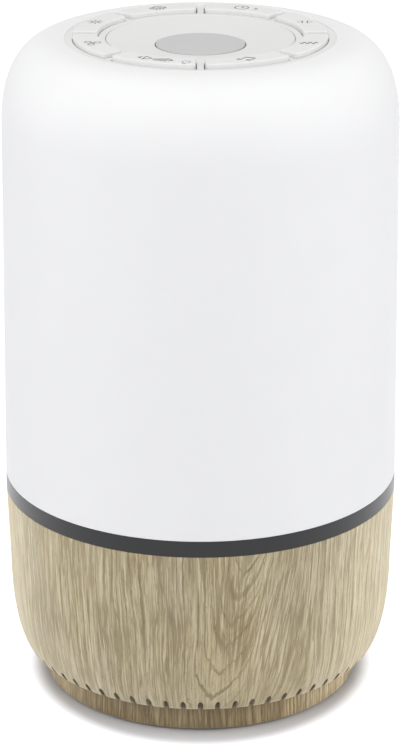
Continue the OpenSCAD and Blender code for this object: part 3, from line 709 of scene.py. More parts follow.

# The painted shade of recesses, two slight casts of the wood's colour, its gloss, and the painted light that
# makes its flanks paler
RECESS_SHADE_TONE = srgb(70, 56, 34)
COOL_CAST = srgb(248, 250, 255)
WARM_CAST = srgb(255, 251, 240)
SHEEN_TINT = srgb(255, 244, 214)
PAINTED_FLANK_LIGHT = (1.55, 1.6, 1.75, 1.0)
OAK_ROUGHNESS = 0.5


class Oak(Finish):
    """Light oak wrapped round the body, its grain upright and its arches pointing down, seam at the back."""

    def __init__(self, name, light, middle, dark, pore, figure=1.0):
        """The tones go from light to dark, and a figure of 0 leaves the arches out."""
        super().__init__(name)
        self.light, self.middle, self.dark, self.pore = light, middle, dark, pore
        self.x, self.y, self.z = self.split(self.stretch(1, 1, 1))
        self.turn = self.calc("ARCTAN2", self.x, self.y * -1.0)
        self.along = self.turn * BODY_R
        self.sway = self.field(*SWAY_SIZE) - 0.5
        self.jag = self.field(*JAG_SIZE, detail=3.0, roughness=0.6)
        self.fade = self.field(*FADE_SIZE)
        self.lean = (self.z - FIGURE_Z) * (FIGURE_LEAN * figure)
        drift = self.field(*DRIFT_SIZE, detail=1.0) - 0.5
        self.moved = self.along + drift * DRIFT_W + self.sway * SWAY_W
        streak_place = self.vector(self.moved * STREAK_SIZE[0], self.z * STREAK_SIZE[1], 0.0)
        self.streaks = self.noise(streak_place, roughness=0.6)

        rings = self.rings()
        tips = self.arches(figure)
        line = rings * (1.0 - self.inside) + tips * self.inside
        faint = self.inside * FAINT_ARCHES + FAINT_LINES
        self.line = line * self.calc("MAXIMUM", self.band(self.fade, *FADE_SPAN), faint)
        dashes = self.field(*DASH_SIZE, detail=1.0)
        self.pores = self.band(self.line * PORE_CROWD + PORE_LEVEL - dashes, *PORE_SPAN)

    def stripe(self, phase, full, hold, end):
        """A line that starts where the phase is 0, is full between two phases and has gone by the end."""
        return self.band(phase, 0.0, full) * self.band(phase, end, hold)

    def rings(self):
        """Lines of the upright grain, which leans a little to the right of the arches."""
        offset = self.moved - FIGURE_X
        right = self.band(offset, 0.0, FIGURE_LEAN_FULL) * self.band(offset, FIGURE_REACH, FIGURE_LEAN_FADE)
        straight = offset - self.lean * right
        self.spread = straight + self.jag * GRAIN_JAG
        spacing = self.noise(self.vector(self.spread * RING_SIZE, 0.0, 0.0), detail=1.0)
        phase = self.calc("FRACT", self.spread / RING_W + spacing * RING_UNEVEN)
        return self.stripe(phase, *RING_PHASES)

    def arches(self, figure):
        """Lines of the arches: level lines of the height, pulled down steeply at both sides."""
        waver = self.along + self.sway * ARCH_SWAY_W
        across = abs(waver - (self.lean + FIGURE_X))
        fan = across / ((FIGURE_Z - self.z) * ARCH_WIDEN + ARCH_HALF)
        self.inside = self.band(fan, 1.0, ARCH_EDGE) * figure
        pull = self.calc("LOGARITHM", self.calc("MAXIMUM", 1.0 - fan, ARCH_STEEPEST), math.e)
        self.arch = self.z + pull * ARCH_RISE + (self.jag - 0.5) * ARCH_JAG
        uneven = self.noise(self.vector(self.arch * ARCH_SIZE, 0.0, ARCH_SEED), detail=1.0)
        step = (self.arch - ARCH_TIP_Z) / ARCH_GAP
        phase = self.calc("FRACT", step + (uneven - 0.5) * ARCH_UNEVEN)
        return self.stripe(phase, *TIP_PHASES)

    def hairs(self, across, up, seed):
        """Upright hairlines."""
        place = self.vector(self.spread * across, self.z * up, seed)
        thread = self.noise(place, roughness=0.6)
        return self.band(abs(thread - 0.5), *HAIR_SPAN)

    def wood(self):
        """The colour: broad bands, fine streaks, lines, hairlines and pores, all upright."""
        flow_place = self.vector(self.spread * FLOW_SIZE[0], self.z * FLOW_SIZE[1], self.turn)
        flow = self.noise(flow_place, detail=4.0, roughness=0.7)
        wave_place = self.vector(self.arch * WAVE_SIZE, self.turn, WAVE_SEED)
        waves = self.noise(wave_place, detail=3.0, roughness=0.65)
        in_waves = self.inside * WAVES_SHARE
        flow = flow * (1.0 - in_waves) + waves * in_waves
        broad = self.field(*BROAD_SIZE)
        fine_hairs = self.hairs(*FINE_HAIRS) * self.band(self.fade, *FINE_HAIR_SHARE)
        dense_hairs = self.hairs(*DENSE_HAIRS) * self.band(broad, *DENSE_HAIR_SHARE)
        tone = self.ramp(flow, *zip(TONE_STOPS, (self.dark, self.middle, self.light)))
        tone = self.mix(self.band(broad, *BROAD), tone, self.middle)
        tone = self.mix(self.band(self.streaks, *DARK_STREAKS), tone, self.dark)
        tone = self.mix(self.band(self.streaks, *LIGHT_STREAKS), tone, self.light)
        tone = self.mix(self.line * LINE_SHARE, tone, self.dark)
        tone = self.mix(fine_hairs, tone, self.dark)
        tone = self.mix(dense_hairs, tone, self.dark)
        return self.mix(self.pores * PORE_SHARE, tone, self.pore)

    def painted_flank_light_and_cast(self, tone):
        """The colour with painted light that makes the flanks beside the front paler, and a slightly warmer
        or cooler cast in places.
        """
        # Painted light: the flanks beside the front are made paler
        flanks = self.band(self.along, *RIGHT_FLANK) + self.band(self.along, *LEFT_FLANK)
        front = self.band(abs(self.along), *NOT_BACK)
        tone = self.mix(flanks * front, tone, PAINTED_FLANK_LIGHT, blend="MULTIPLY")
        clouds = self.field(*CLOUD_SIZE)
        cast = self.mix(self.band(clouds, *NARROW_SPAN), COOL_CAST, WARM_CAST)
        return self.mix(CAST_SHARE, tone, cast, blend="MULTIPLY")

    def painted_recess_shade(self):
        """How much painted shade a point gets: 0 on the base's outer skin, and most where a surface lies
        inside it.
        """
        rise = (KNEE_Z - self.z) / TUCK_H
        rise = self.calc("MINIMUM", self.calc("MAXIMUM", rise, 0.0), 1.0)
        curve = (1.0 - rise ** TUCK_POWER) ** (1 / TUCK_POWER)
        skin_r = curve * TUCK_IN + (KNEE_R - TUCK_IN)
        reach = self.calc("SQRT", self.x * self.x + self.y * self.y)
        return self.band(skin_r - reach, *RECESS_SHADE_DEPTH)

    def complete(self, tone, sheen):
        """Sets the colour, the gloss and the relief of the grain."""
        self.colour(tone)
        self.rough(self.band(self.streaks, *WIDE_SPAN, OAK_ROUGHNESS + 0.08, OAK_ROUGHNESS - 0.05))
        self.bump(self.streaks * 0.5 - self.pores, 0.05, strength=0.6)
        self.set("Sheen Weight", sheen)
        self.set("Sheen Roughness", 0.5)
        self.set("Sheen Tint", SHEEN_TINT)


def oak_body():
    """The base's oak, with arches, and painted shade that darkens it inside the slots and under the tucked
    edge.
    """
    oak = Oak("oak_body", srgb(206, 194, 163), srgb(180, 167, 133), srgb(129, 112, 78), srgb(104, 86, 56))
    tone = oak.painted_flank_light_and_cast(oak.wood())
    # Painted shade: a dark tone inside the slots and under the tucked edge
    oak.complete(oak.mix(oak.painted_recess_shade(), tone, RECESS_SHADE_TONE), sheen=0.9)
    return oak


def oak_foot():
    """The foot's oak, without arches: painted shade darkens it towards the base above it, and painted light
    makes both flanks paler.
    """
    # Tones darker than the body's oak, in part painted shade for the foot under the base's overhang
    oak = Oak("oak_foot", srgb(187, 168, 129), srgb(152, 132, 94), srgb(104, 85, 53), srgb(78, 62, 38),
              figure=0.0)
    tone = oak.painted_flank_light_and_cast(oak.wood())
    # Painted shade: the pore tone darkens the foot towards the base's overhang above it
    tone = oak.mix(oak.band(oak.z, *FOOT_SHADE), tone, oak.pore)
    # Painted light: the foot's flanks are made paler
    flanks = oak.band(oak.along, *FOOT_RIGHT_FLANK) + oak.band(oak.along, *FOOT_LEFT_FLANK)
    ends = oak.band(abs(oak.along), *FOOT_ENDS)
    oak.complete(oak.mix(flanks * ends, tone, PAINTED_FLANK_LIGHT, blend="MULTIPLY"), sheen=0.6)
    return oak


DOME = plastic("dome_plastic", srgb(243, 243, 243), 0.56, depth=0.004, spread=0.008)
DOME.set("Specular IOR Level", 0.28)
DOME.set("Subsurface Weight", 0.15)
DOME.set("Subsurface Radius", (0.004, 0.004, 0.004))
BAND = plastic("band_plastic", srgb(25, 26, 26), 0.34, depth=0.002, spread=0.06)
BAND.set("Specular IOR Level", 0.38)
BAND.set("Sheen Weight", 0.4)
BAND.set("Sheen Roughness", 0.4)
DECK = plastic("deck_plastic", srgb(230, 230, 229), 0.5, depth=0.01, spread=0.01)
KEYS = plastic("key_plastic", srgb(232, 232, 231), 0.48, depth=0.01, spread=0.01)
BUTTON = plastic("button_plastic", srgb(198, 198, 198), 0.45, depth=0.01, spread=0.016)
PRINT = plastic("print_ink", srgb(118, 118, 120), 0.55, depth=0.004, spread=0.08)
OAK = oak_body()
OAK_FOOT = oak_foot()

# Plain mouldings inside, named after their material slots: colour and roughness
MOULDINGS = {
    "wire_red": (172, 40, 36, 0.4),
    "wire_black": (36, 36, 38, 0.4),
    "wire_white": (222, 221, 216, 0.4),
    "inlet_black": (30, 30, 31, 0.4),
    "frame_white": (226, 226, 222, 0.45),
    "led_lens": (246, 232, 160, 0.3),
    "reflector_white": (244, 244, 242, 0.35),
    "cable_grey": (200, 200, 198, 0.45),
    "connector_cream": (232, 227, 208, 0.45),
    "plunger_amber": (206, 178, 84, 0.4),
}

# The finish of each material slot of the CAD
SLOT_FINISHES = {
    "anti_slip": rubber("anti_slip_rubber", srgb(52, 52, 53)),
    "black_plastic": plastic("black_moulding", srgb(46, 46, 48), 0.45),
    "gasket_foam": rubber("gasket_foam", srgb(38, 38, 38), 0.9),
    "speaker_steel": metal("speaker_steel", srgb(120, 122, 126), 0.4),
    "surround_rubber": rubber("surround_rubber", srgb(32, 32, 33), 0.6),
    "cone_paper": fibre("cone_paper", srgb(62, 60, 58)),
    "coil_copper": metal("coil_copper", srgb(196, 120, 72), 0.3, brush=(0.3, 0.3, 8.0)),
    "ferrite": plastic("ferrite", srgb(62, 62, 66), 0.6, depth=0.05, spread=0.16),
    "zinc_steel": metal("zinc_steel", srgb(188, 190, 194), 0.28, brush=(1.5, 1.5, 1.5)),
    "inlet_metal": metal("inlet_metal", srgb(196, 198, 200), 0.22, brush=(3.0, 0.4, 3.0)),
    "board_green": board("board_green", srgb(26, 84, 54), srgb(34, 102, 62)),
    "board_white": board("board_white", srgb(236, 236, 230), srgb(226, 226, 218)),
    "chip_black": plastic("chip_black", srgb(38, 38, 40), 0.55, depth=0.02),
    "charcoal_trim": BAND,
    "dome_white": DOME,
    "deck_white": DECK,
    "key_white": KEYS,
    "button_grey": BUTTON,
    "wood_look": OAK,
    "wood_look_foot": OAK_FOOT,
}
for slot, (red, green, blue, roughness) in MOULDINGS.items():
    SLOT_FINISHES[slot] = plastic(slot, srgb(red, green, blue), roughness)


# ---- base and foot ----

def base_profile():
    """The base shell's section: outer skin, flange, inner skin, ledge under the mid frame."""
    inner_r = BODY_R - BASE_WALL
    inner_h = TUCK_H - BASE_WALL
    inner_in = TUCK_IN * inner_h / TUCK_H
    inner_start = KNEE_R - BASE_WALL - inner_in
    mid_seat = BASE_TOP - MID_FRAME_T
    ledge_under = mid_seat - LEDGE_T
    outer = [(KNEE_R - TUCK_IN + x, KNEE_Z - y) for x, y in bulge(TUCK_IN, TUCK_H, TUCK_POWER, TUCK_STEPS)]
    inner = [(inner_start + x, KNEE_Z - y) for x, y in bulge(inner_in, inner_h, TUCK_POWER, TUCK_STEPS)]
    flange = [(FLANGE_R, BASE_BOTTOM), (FLANGE_R, BASE_BOTTOM + BASE_WALL)]
    ledge = [(inner_r, ledge_under - LEDGE_SLOPE), (LEDGE_R, ledge_under), (LEDGE_R, mid_seat),
             (inner_r, mid_seat)]
    return rounded([(BODY_R, BASE_TOP, EDGE)] + outer + flange + inner[::-1] + ledge + [(inner_r, BASE_TOP)])


def vent_slots():
    """Upright cutters with a round outer side, all the way round the tucked edge."""
    half = VENT_W / 2
    cap = arc((VENT_OUT_R - half, 0), half, -math.pi / 2, math.pi / 2, SLOT_STEPS)
    outline = cap + [(VENT_OUT_R - VENT_L, half), (VENT_OUT_R - VENT_L, -half)]
    slot = extrude(outline, BASE_BOTTOM - CUT, BASE_BOTTOM + VENT_H)
    return around(slot, VENT_COUNT, -math.pi / 2)


def inlet_window():
    """A cutter for the window with round ends at the back, where the power inlet sits."""
    width = INLET_W + 2 * INLET_GAP
    height = INLET_H + 2 * INLET_GAP
    side = (width - height) / 2
    right_end = arc((side, 0), height / 2, -math.pi / 2, math.pi / 2, SLOT_STEPS)
    left_end = arc((-side, 0), height / 2, math.pi / 2, 3 * math.pi / 2, SLOT_STEPS)
    upright = Matrix.Translation((0, BODY_R + CUT, INLET_Z)) @ Matrix.Rotation(math.pi / 2, 4, "X")
    return placed(extrude(right_end + left_end, 0, INLET_CUT_DEPTH), upright)


def foot_profile():
    """The foot's section: a dish with a groove below for the anti-slip ring."""
    inner_r = FOOT_R - BASE_WALL
    groove = [(PAD_R_IN, FOOT_BOTTOM), (PAD_R_IN, PAD_T), (PAD_R_OUT, PAD_T), (PAD_R_OUT, FOOT_BOTTOM)]
    wall = [(FOOT_R, FOOT_BOTTOM, FOOT_EDGE), (FOOT_R, BASE_BOTTOM), (inner_r, BASE_BOTTOM)]
    return rounded([(0, FOOT_BOTTOM)] + groove + wall + [(inner_r, FOOT_FLOOR), (0, FOOT_FLOOR)])


def case_screw_holes():
    """Cutters for the holes of the long screws."""
    outline = circle(CASE_SCREW_R, 0, CASE_SCREW_HOLE_R, HOLE_STEPS)
    hole = extrude(outline, FOOT_BOTTOM - CUT, FOOT_FLOOR + CUT)
    return around(hole, CASE_SCREW_COUNT, math.pi / CASE_SCREW_COUNT)


base = make("wood_base", revolve(base_profile(), BASE_STEPS))
carve(base, vent_slots())
carve(base, inlet_window())
dress(base, OAK, "housing", "wood_look", "base_shell")

foot = make("wood_foot", revolve(foot_profile(), BODY_STEPS))
carve(foot, case_screw_holes())
dress(foot, OAK_FOOT, "housing", "wood_look_foot", "foot_plinth")


# ---- band and dome ----

def band_profile():
    """The accent band's section, with softened outer edges."""
    return rounded([(BODY_R, BASE_TOP, EDGE), (BODY_R, BAND_TOP, EDGE), (SPIGOT_R, BAND_TOP),
                    (SPIGOT_R, BASE_TOP)])


def dome_profile():
    """The dome's section: drafted wall, round shoulder, ledge under the deck, rabbet over the spigot."""
    knee_z = DOME_TOP - SHOULDER_H
    knee_r = BODY_R - DOME_DRAFT * (DOME_TOP - BAND_TOP - SHOULDER_H)
    web_r = DOME_EDGE_R + DOME_WALL
    outer_in = knee_r - DOME_EDGE_R - DOME_FLAT_W
    inner_in = knee_r - DOME_WALL - web_r
    inner_h = SHOULDER_H - DOME_WALL
    inner_low_r = BODY_R - DOME_WALL - DOME_DRAFT * RABBET_H
    ledge_top = DECK_TOP - DECK_RIM_T
    ledge_under = ledge_top - DOME_LEDGE_T
    ledge_r = DECK_STEP_R + DECK_SEAT_GAP
    outer = [(knee_r - outer_in + x, knee_z + y)
             for x, y in bulge(outer_in, SHOULDER_H, SHOULDER_POWER, SHOULDER_STEPS)]
    inner = [(knee_r - DOME_WALL - inner_in + x, knee_z + y)
             for x, y in bulge(inner_in, inner_h, SHOULDER_POWER, SHOULDER_INNER_STEPS)]
    ledge = [(DOME_EDGE_R, ledge_top), (ledge_r, ledge_top), (ledge_r, ledge_under), (web_r, ledge_under)]
    rabbet = [(inner_low_r, RABBET_TOP), (SPIGOT_R, RABBET_TOP), (SPIGOT_R, BAND_TOP)]
    top_edge = [(DOME_EDGE_R, DOME_TOP, SEAM_EDGE)]
    return rounded([(BODY_R, BAND_TOP, EDGE)] + outer + top_edge + ledge + inner[::-1] + rabbet)


band = make("charcoal_band", revolve(band_profile(), BODY_STEPS))
dress(band, BAND, "housing", "charcoal_trim", "accent_band")

dome = make("white_dome", revolve(dome_profile(), BODY_STEPS))
dress(dome, DOME, "housing", "dome_white", "diffuser_dome")


# ---- control deck ----

def deck_profile():
    """The deck frame's section: stepped rim, channel for the keys, inner ring, the dish's seat."""
    rim_under = DECK_TOP - DECK_RIM_T
    plate = [(DECK_HOLE_R, DECK_UNDER), (DECK_STEP_R, DECK_UNDER)]
    rim = [(DECK_STEP_R, rim_under), (DECK_R, rim_under), (DECK_R, DECK_TOP, SEAM_EDGE)]
    channel = [(CHANNEL_OUT_R, DECK_TOP, DECK_EDGE), (CHANNEL_OUT_R, CHANNEL_FLOOR),
               (CHANNEL_IN_R, CHANNEL_FLOOR), (CHANNEL_IN_R, DECK_TOP, DECK_EDGE)]
    seat = [(INNER_RING_R, DECK_TOP, DISH_EDGE), (INNER_RING_R, DISH_SEAT), (DECK_HOLE_R, DISH_SEAT)]
    return rounded(plate + rim + channel + seat)


def deck_ribs():
    """The ribs between the keys, with softened top edges."""
    half = RIB_W / 2
    foot_z = CHANNEL_FLOOR - RIB_SUNK
    section = rounded([(-half, foot_z), (half, foot_z), (half, DECK_TOP, DECK_EDGE),
                       (-half, DECK_TOP, DECK_EDGE)])
    lay_along_x = Matrix(((0, 0, 1, 0), (1, 0, 0, 0), (0, 1, 0, 0), (0, 0, 0, 1)))
    return around(placed(extrude(section, RIB_IN_R, RIB_OUT_R), lay_along_x), KEY_COUNT)


def dish_z(radius):
    """Height of the concave dish at a radius."""
    return DECK_TOP - DISH_DEPTH + DISH_SPHERE_R - math.sqrt(DISH_SPHERE_R ** 2 - radius ** 2)


def dish_curve(r_from, r_to, lift=0.0):
    """Points along the dish between two radii."""
    radii = [r_from + (r_to - r_from) * i / DISH_STEPS for i in range(DISH_STEPS + 1)]
    return [(r, dish_z(r) + lift) for r in radii]


def dish_profile():
    """The dish's section: flat below and hollow above, with softened edges."""
    top = dish_curve(DISH_R, DISH_IN_R)
    under = [(DISH_IN_R, DISH_SEAT), (DISH_R, DISH_SEAT)]
    return rounded(under + [(*top[0], DISH_EDGE)] + top[1:-1] + [(*top[-1], DECK_EDGE)])


def button_profile():
    """The centre button's section: stem, flange, and a top that carries on the dish's curve."""
    top = dish_curve(BUTTON_R, 0, BUTTON_PROUD)
    flange_under = BUTTON_FLANGE_TOP - BUTTON_FLANGE_T
    stem = [(0, STEM_END), (STEM_R, STEM_END), (STEM_R, flange_under)]
    flange = [(BUTTON_FLANGE_R, flange_under), (BUTTON_FLANGE_R, BUTTON_FLANGE_TOP),
              (BUTTON_R, BUTTON_FLANGE_TOP)]
    return rounded(stem + flange + [(*top[0], BUTTON_EDGE)] + top[1:])


deck = make("deck_ring", revolve(deck_profile(), DECK_STEPS))
carve(deck, deck_ribs(), "UNION")
dress(deck, DECK, "housing", "deck_white", "deck_frame")

dish = make("dish", revolve(dish_profile(), DECK_STEPS))
dress(dish, DECK, "housing", "deck_white", "dish_plate")

button = make("round_button", revolve(button_profile(), DECK_STEPS))
dress(button, BUTTON, "main_button", "button_grey", "centre_button")


def key_outline(inset):
    """A key's closed outline, with the key's centre line on the X axis."""
    middle = KEY_PITCH / 2
    inner = KEY_IN_R + inset
    outer = KEY_OUT_R - inset
    corner = KEY_CORNER_R - inset
    centre_y = RIB_W / 2 + KEY_RIB_GAP + inset + corner
    inner_centre = (math.sqrt((inner + corner) ** 2 - centre_y ** 2), centre_y)
    outer_centre = (math.sqrt((outer - corner) ** 2 - centre_y ** 2), centre_y)
    inner_turn = math.atan2(centre_y, inner_centre[0])
    outer_turn = math.atan2(centre_y, outer_centre[0])
    side_turn = 1.5 * math.pi
    half = (arc((0, 0), inner, middle, inner_turn, KEY_ARC_STEPS)[:-1]
            + arc(inner_centre, corner, math.pi + inner_turn, side_turn, KEY_INNER_CORNER_STEPS)
            + arc(outer_centre, corner, side_turn, math.tau + outer_turn, KEY_OUTER_CORNER_STEPS)
            + arc((0, 0), outer, outer_turn, middle, KEY_ARC_STEPS)[1:])
    turned = [Matrix.Rotation(-middle, 2) @ Vector(p) for p in half]
    return [tuple(p) for p in turned] + [(p.x, -p.y) for p in turned[-2:0:-1]]


def key_part():
    """A key's cap with a rounded top edge, and its stem."""
    underside = KEY_TOP - KEY_T
    insets = [0.0]
    heights = [underside]
    for i in range(KEY_EDGE_STEPS + 1):
        turn = math.pi / 2 * i / KEY_EDGE_STEPS
        insets.append(KEY_EDGE * (1 - math.cos(turn)))
        heights.append(KEY_TOP - PRINT_PROUD - KEY_EDGE * (1 - math.sin(turn)))
    cap = stack([key_outline(inset) for inset in insets], heights)
    stem = extrude(circle(STEM_RING_R, 0, STEM_R, STEM_STEPS), STEM_END, underside)
    return joined([cap, stem])


# ---- symbols printed on the keys: lists of parts in mm about the symbol's centre, x right and y away ----

def line_part(stroke, width=PRINT_LINE, closed=False):
    """A flat line of the given width along a stroke, mitred at its bends, or a closed loop."""
    spots = [Vector(p) for p in stroke]
    count = len(spots)
    headings = [(spots[(i + 1) % count] - spots[i]).normalized() for i in range(count)]
    if not closed:
        headings[-1] = headings[-2]
        spots[0] = spots[0] - headings[0] * width / 2
        spots[-1] = spots[-1] + headings[-1] * width / 2
    points = []
    for i, spot in enumerate(spots):
        ahead = headings[i]
        behind = headings[i - 1] if closed or i > 0 else ahead
        mean = (ahead + behind).normalized()
        side = Vector((-mean.y, mean.x)) * (width / 2 / mean.dot(ahead))
        for x, y in (spot + side, spot - side):
            points += [(x, y, 0), (x, y, -PRINT_T)]
    faces = []
    for i in range(count if closed else count - 1):
        a = 4 * i
        b = 4 * ((i + 1) % count)
        faces += [[a, a + 2, b + 2, b], [a + 2, a + 3, b + 3, b + 2], [a + 3, a + 1, b + 1, b + 3],
                  [a + 1, a, b, b + 1]]
    if not closed:
        last = 4 * (count - 1)
        faces += [[0, 1, 3, 2], [last, last + 2, last + 3, last + 1]]
    return points, faces


def loop_part(outline, width=PRINT_LINE):
    """A closed line."""
    return line_part(outline, width, closed=True)


def filled_part(outline):
    """A filled flat shape."""
    return extrude(outline, -PRINT_T, 0)


def degrees_arc(centre, radius, start, end, steps):
    """Points on an arc whose ends are given in degrees."""
    return arc(centre, radius, math.radians(start), math.radians(end), steps)


def melody_symbol():
    """Two joined notes, with oval heads."""
    half_w = 0.62
    half_h = 0.5
    heads = []
    for x, y in ((-1.3, -1.3), (1.0, -0.9)):
        oval = [(x + half_w * math.cos(a), y + half_h * math.sin(a)) for a in spaced(NOTE_STEPS)]
        heads.append(filled_part(oval))
    stems = line_part([(-0.8, -1.2), (-0.8, 1.3), (1.5, 1.7), (1.5, -0.8)])
    beam = line_part([(-0.7, 1.08), (1.4, 1.44)], BEAM_LINE)
    return heads + [stems, beam]


def wave_symbol():
    """A wave of three crests."""
    half = 2.1
    height = 0.75
    radians_per_mm = 4.4
    xs = [-half + 2 * half * i / WAVE_STEPS for i in range(WAVE_STEPS + 1)]
    return [line_part([(x, height * math.sin(radians_per_mm * x)) for x in xs], WAVE_LINE)]


def light_symbol():
    """Two upright bars with a short ray on either side."""
    posts = [line_part([(x, -1.0), (x, 1.0)], BOLD_LINE) for x in (-0.85, 0.45)]
    rays = [line_part([(x, 0), (x + 0.5, 0)]) for x in (-2.0, 1.1)]
    return posts + rays


def timer_symbol():
    """A clock face with two hands, and a pointer beside it."""
    face = loop_part(circle(-0.4, 0, 1.75, SYMBOL_STEPS))
    hands = line_part([(-0.4, 1.0), (-0.4, 0), (0.35, 0)])
    pointer = filled_part([(3.1, -0.8), (4.2, 0), (3.1, 0.8)])
    return [face, hands, pointer]


def cloud_symbol():
    """A shaded cloud with three drops of rain."""
    bumps = (degrees_arc((1.2, -0.3), 0.8, -90, 75, CLOUD_STEPS)
             + degrees_arc((0.1, 0.45), 1.05, 20, 165, CLOUD_STEPS)
             + degrees_arc((-1.3, -0.25), 0.85, 95, 270, CLOUD_STEPS))
    shade = [line_part([(-1.6 + y, y), (1.4 - y, y)], SHADE_LINE) for y in (-0.45, 0.3)]
    drops = [line_part([(x, -1.6), (x - 0.2, -2.0)], BOLD_LINE) for x in (-0.9, 0.0, 0.9)]
    return [loop_part(bumps)] + shade + drops


def sun_symbol():
    """A disc outline with eight rays."""
    face = loop_part(circle(0, 0, 0.8, SYMBOL_STEPS))
    ray_ends = (1.3, 1.75)
    rays = [line_part([(r * math.cos(a), r * math.sin(a)) for r in ray_ends]) for a in spaced(8)]
    return [face] + rays


def fan_symbol():
    """Three round blades that start at a hub."""
    blade = [(0.2, 0.05)] + degrees_arc((1.35, 0.1), 0.75, -115, 125, ARC_STEPS)
    return [placed(loop_part(blade), Matrix.Rotation(a, 4, "Z")) for a in spaced(3, 0.3)]


def level_symbol():
    """Play, a row of rising bars between two arrow heads, and a lamp at the far end."""
    small = filled_part([(-4.4, 0.0), (-3.4, 1.0), (-3.4, -1.0)])
    play = loop_part([(-2.6, -1.3), (-2.6, 1.3), (-0.6, 0.0)], BOLD_LINE)
    bars = [line_part([(0.2 + 0.6 * i, -1.3), (0.2 + 0.6 * i, 0.1 + 0.26 * i)], BAR_LINE) for i in range(6)]
    large = filled_part([(3.8, -1.0), (3.8, 1.0), (4.9, 0.0)])
    bulb = line_part(degrees_arc((0, 0.3), 0.95, -55, 235, ARC_STEPS), LAMP_LINE)
    socket = [line_part([(-half, y), (half, y)], LAMP_LINE) for half, y in ((0.45, -0.95), (0.3, -1.35))]
    beside = Matrix.Translation((8.0, -0.2, 0))
    return [small, play, large] + bars + [placed(part, beside) for part in [bulb] + socket]


# Each key's symbol, and its turn: on the front and back keys it lies along the key
ALONG_KEY = KEY_PITCH / 2
MELODY_SLANT = math.radians(-30)
KEY_SYMBOLS = [
    ("melody", melody_symbol, MELODY_SLANT), ("wave", wave_symbol, 0.0),
    ("light", light_symbol, 0.0), ("timer", timer_symbol, -ALONG_KEY),
    ("cloud", cloud_symbol, ALONG_KEY), ("sun", sun_symbol, 0.0),
    ("fan", fan_symbol, 0.0), ("level", level_symbol, -ALONG_KEY)]
SYMBOL_R = (KEY_IN_R + KEY_OUT_R) / 2

for index, (word, symbol, slant) in enumerate(KEY_SYMBOLS):
    turn = FIRST_KEY + KEY_PITCH * index
    body = f"{word}_button"
    key = make(f"{word}_cap", placed(key_part(), Matrix.Rotation(turn, 4, "Z")))
    dress(key, KEYS, body, "key_white", f"{word}_key")
    centre = Vector((SYMBOL_R * math.cos(turn), SYMBOL_R * math.sin(turn), KEY_TOP))
    spot = Matrix.Translation(centre) @ Matrix.Rotation(slant, 4, "Z")
    first, *others = symbol()
    mark = make(f"{word}_symbol", placed(first, spot))
    for part in others:
        carve(mark, placed(part, spot), "UNION")
    dress(mark, PRINT, body, "button_grey")


# ---- nodes that stay as the CAD has them, in their own finish ----

node_slots = {part["node"]: part["material_slot"] for part in frame["record"]["subparts"]}
for name, piece in frame["nodes"].items():
    for place in piece.material_slots:
        place.material = SLOT_FINISHES[node_slots[name]].material


# ---- floor, light and camera, in metres ----

# Floor: its size, two close tones, gloss, and how a glow takes it to white away from the object
FLOOR_SIZE = 40.0
FLOOR_DARK = (0.81, 0.815, 0.85, 1.0)
FLOOR_LIGHT = (0.82, 0.825, 0.86, 1.0)
FLOOR_CLOUDS = 0.004
FLOOR_ROUGHNESS = 0.9
FLOOR_SPECULAR = 0.1
GLOW_REACH = (0.0443, 0.0508)
GLOW_WIDTH = 1.1
FLOOR_GLOW = (0.0, 0.7)

# Room: how much it lights the object, and how bright it looks
WHITE = (1.0, 1.0, 1.0, 1.0)
WORLD_LIGHT = 0.42
WORLD_SEEN = 1.0

# Soft lamps: name, place, the point it looks at, width, height and watts
LAMPS = [
    ("key_light", (-0.05, -0.45, 1.05), (0, 0, 0.1), 0.9, 0.7, 5.9),
    ("front_fill", (0.0, -1.1, 0.45), (0, 0, 0.1), 1.4, 0.5, 2.2),
    ("left_side", (-0.9, 0.12, 0.22), (0, 0, 0.06), 0.4, 0.4, 1.7),
    ("right_side", (0.9, 0.08, 0.22), (0, 0, 0.06), 0.4, 0.4, 2.0)]

# Camera: place, tilt, focal length and sensor width in mm, and the nearest and farthest point it sees
CAMERA_PLACE = (0.0, -0.6553, 0.3291)
CAMERA_TILT = math.radians(69.22)
CAMERA_LENS = 132.1
CAMERA_SENSOR = 36.0
CAMERA_NEAR = 0.01
CAMERA_FAR = 100.0


def camera_branch(tree, seen, other):
    """Mixes two shaders: one for rays from the camera and in reflections, one for light."""
    path = tree.nodes.new("ShaderNodeLightPath")
    looks = path.outputs["Is Camera Ray"]
    for kind in ("Is Glossy Ray", "Is Transmission Ray"):
        either = tree.nodes.new("ShaderNodeMath")
        either.operation = "MAXIMUM"
        tree.links.new(looks, either.inputs[0])
        tree.links.new(path.outputs[kind], either.inputs[1])
        looks = either.outputs[0]
    mixer = tree.nodes.new("ShaderNodeMixShader")
    tree.links.new(looks, mixer.inputs[0])
    tree.links.new(other, mixer.inputs[1])
    tree.links.new(seen, mixer.inputs[2])
    return mixer.outputs[0]


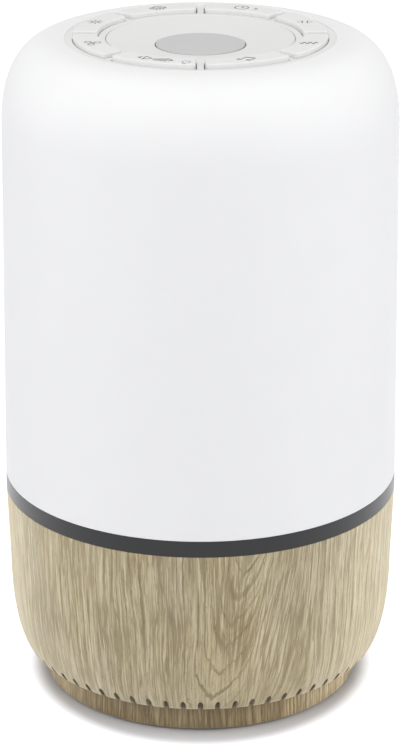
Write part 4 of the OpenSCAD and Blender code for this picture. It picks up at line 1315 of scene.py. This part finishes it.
def floor():
    """A pale floor that takes shadows, and looks white away from the object."""
    half = FLOOR_SIZE / 2
    corners = [(-half, -half, 0), (half, -half, 0), (half, half, 0), (-half, half, 0)]
    mesh = bpy.data.meshes.new("floor")
    mesh.from_pydata(corners, [], [(0, 1, 2, 3)])
    piece = linked("floor", mesh)
    finish = Finish("floor_paint")
    clouds = finish.field(FLOOR_CLOUDS, FLOOR_CLOUDS, detail=3.0)
    finish.colour(finish.mix(clouds, FLOOR_DARK, FLOOR_LIGHT))
    finish.rough(FLOOR_ROUGHNESS)
    finish.set("Specular IOR Level", FLOOR_SPECULAR)
    reach = finish.add("ShaderNodeVectorMath", operation="LENGTH")
    finish.feed(reach.inputs[0], finish.scaled(finish.place, GLOW_WIDTH, 1, 1))
    glow = finish.add("ShaderNodeEmission")
    finish.feed(glow.inputs["Strength"], finish.band(reach.outputs["Value"], *GLOW_REACH, *FLOOR_GLOW))
    tree = finish.tree
    both = finish.add("ShaderNodeAddShader")
    tree.links.new(finish.shader.outputs[0], both.inputs[0])
    tree.links.new(glow.outputs[0], both.inputs[1])
    surface = camera_branch(tree, both.outputs[0], finish.shader.outputs[0])
    tree.links.new(surface, tree.nodes["Material Output"].inputs[0])
    mesh.materials.append(finish.material)


def world():
    """A white room that lights the object softly from all sides."""
    room = bpy.data.worlds.new("studio")
    room.use_nodes = True
    tree = room.node_tree
    light = tree.nodes["Background"]
    seen = tree.nodes.new("ShaderNodeBackground")
    for node, strength in ((light, WORLD_LIGHT), (seen, WORLD_SEEN)):
        node.inputs["Color"].default_value = WHITE
        node.inputs["Strength"].default_value = strength
    surface = camera_branch(tree, seen.outputs[0], light.outputs[0])
    tree.links.new(surface, tree.nodes["World Output"].inputs[0])
    bpy.context.scene.world = room


def softbox(name, place, aim, width, height, watts):
    """A rectangular area lamp that looks at a point."""
    lamp = bpy.data.lights.new(name, "AREA")
    lamp.shape = "RECTANGLE"
    lamp.size = width
    lamp.size_y = height
    lamp.energy = watts
    holder = linked(name, lamp)
    holder.location = place
    holder.rotation_euler = (Vector(aim) - Vector(place)).to_track_quat("-Z", "Y").to_euler()


def camera():
    """The camera, at the photo's angle."""
    data = bpy.data.cameras.new("camera")
    data.lens = CAMERA_LENS
    data.sensor_width = CAMERA_SENSOR
    data.clip_start = CAMERA_NEAR
    data.clip_end = CAMERA_FAR
    holder = linked("camera", data)
    holder.location = CAMERA_PLACE
    holder.rotation_euler = (CAMERA_TILT, 0.0, 0.0)
    bpy.context.scene.camera = holder


floor()
world()
for lamp in LAMPS:
    softbox(*lamp)
camera()
bpy.context.scene.view_settings.view_transform = "Standard"
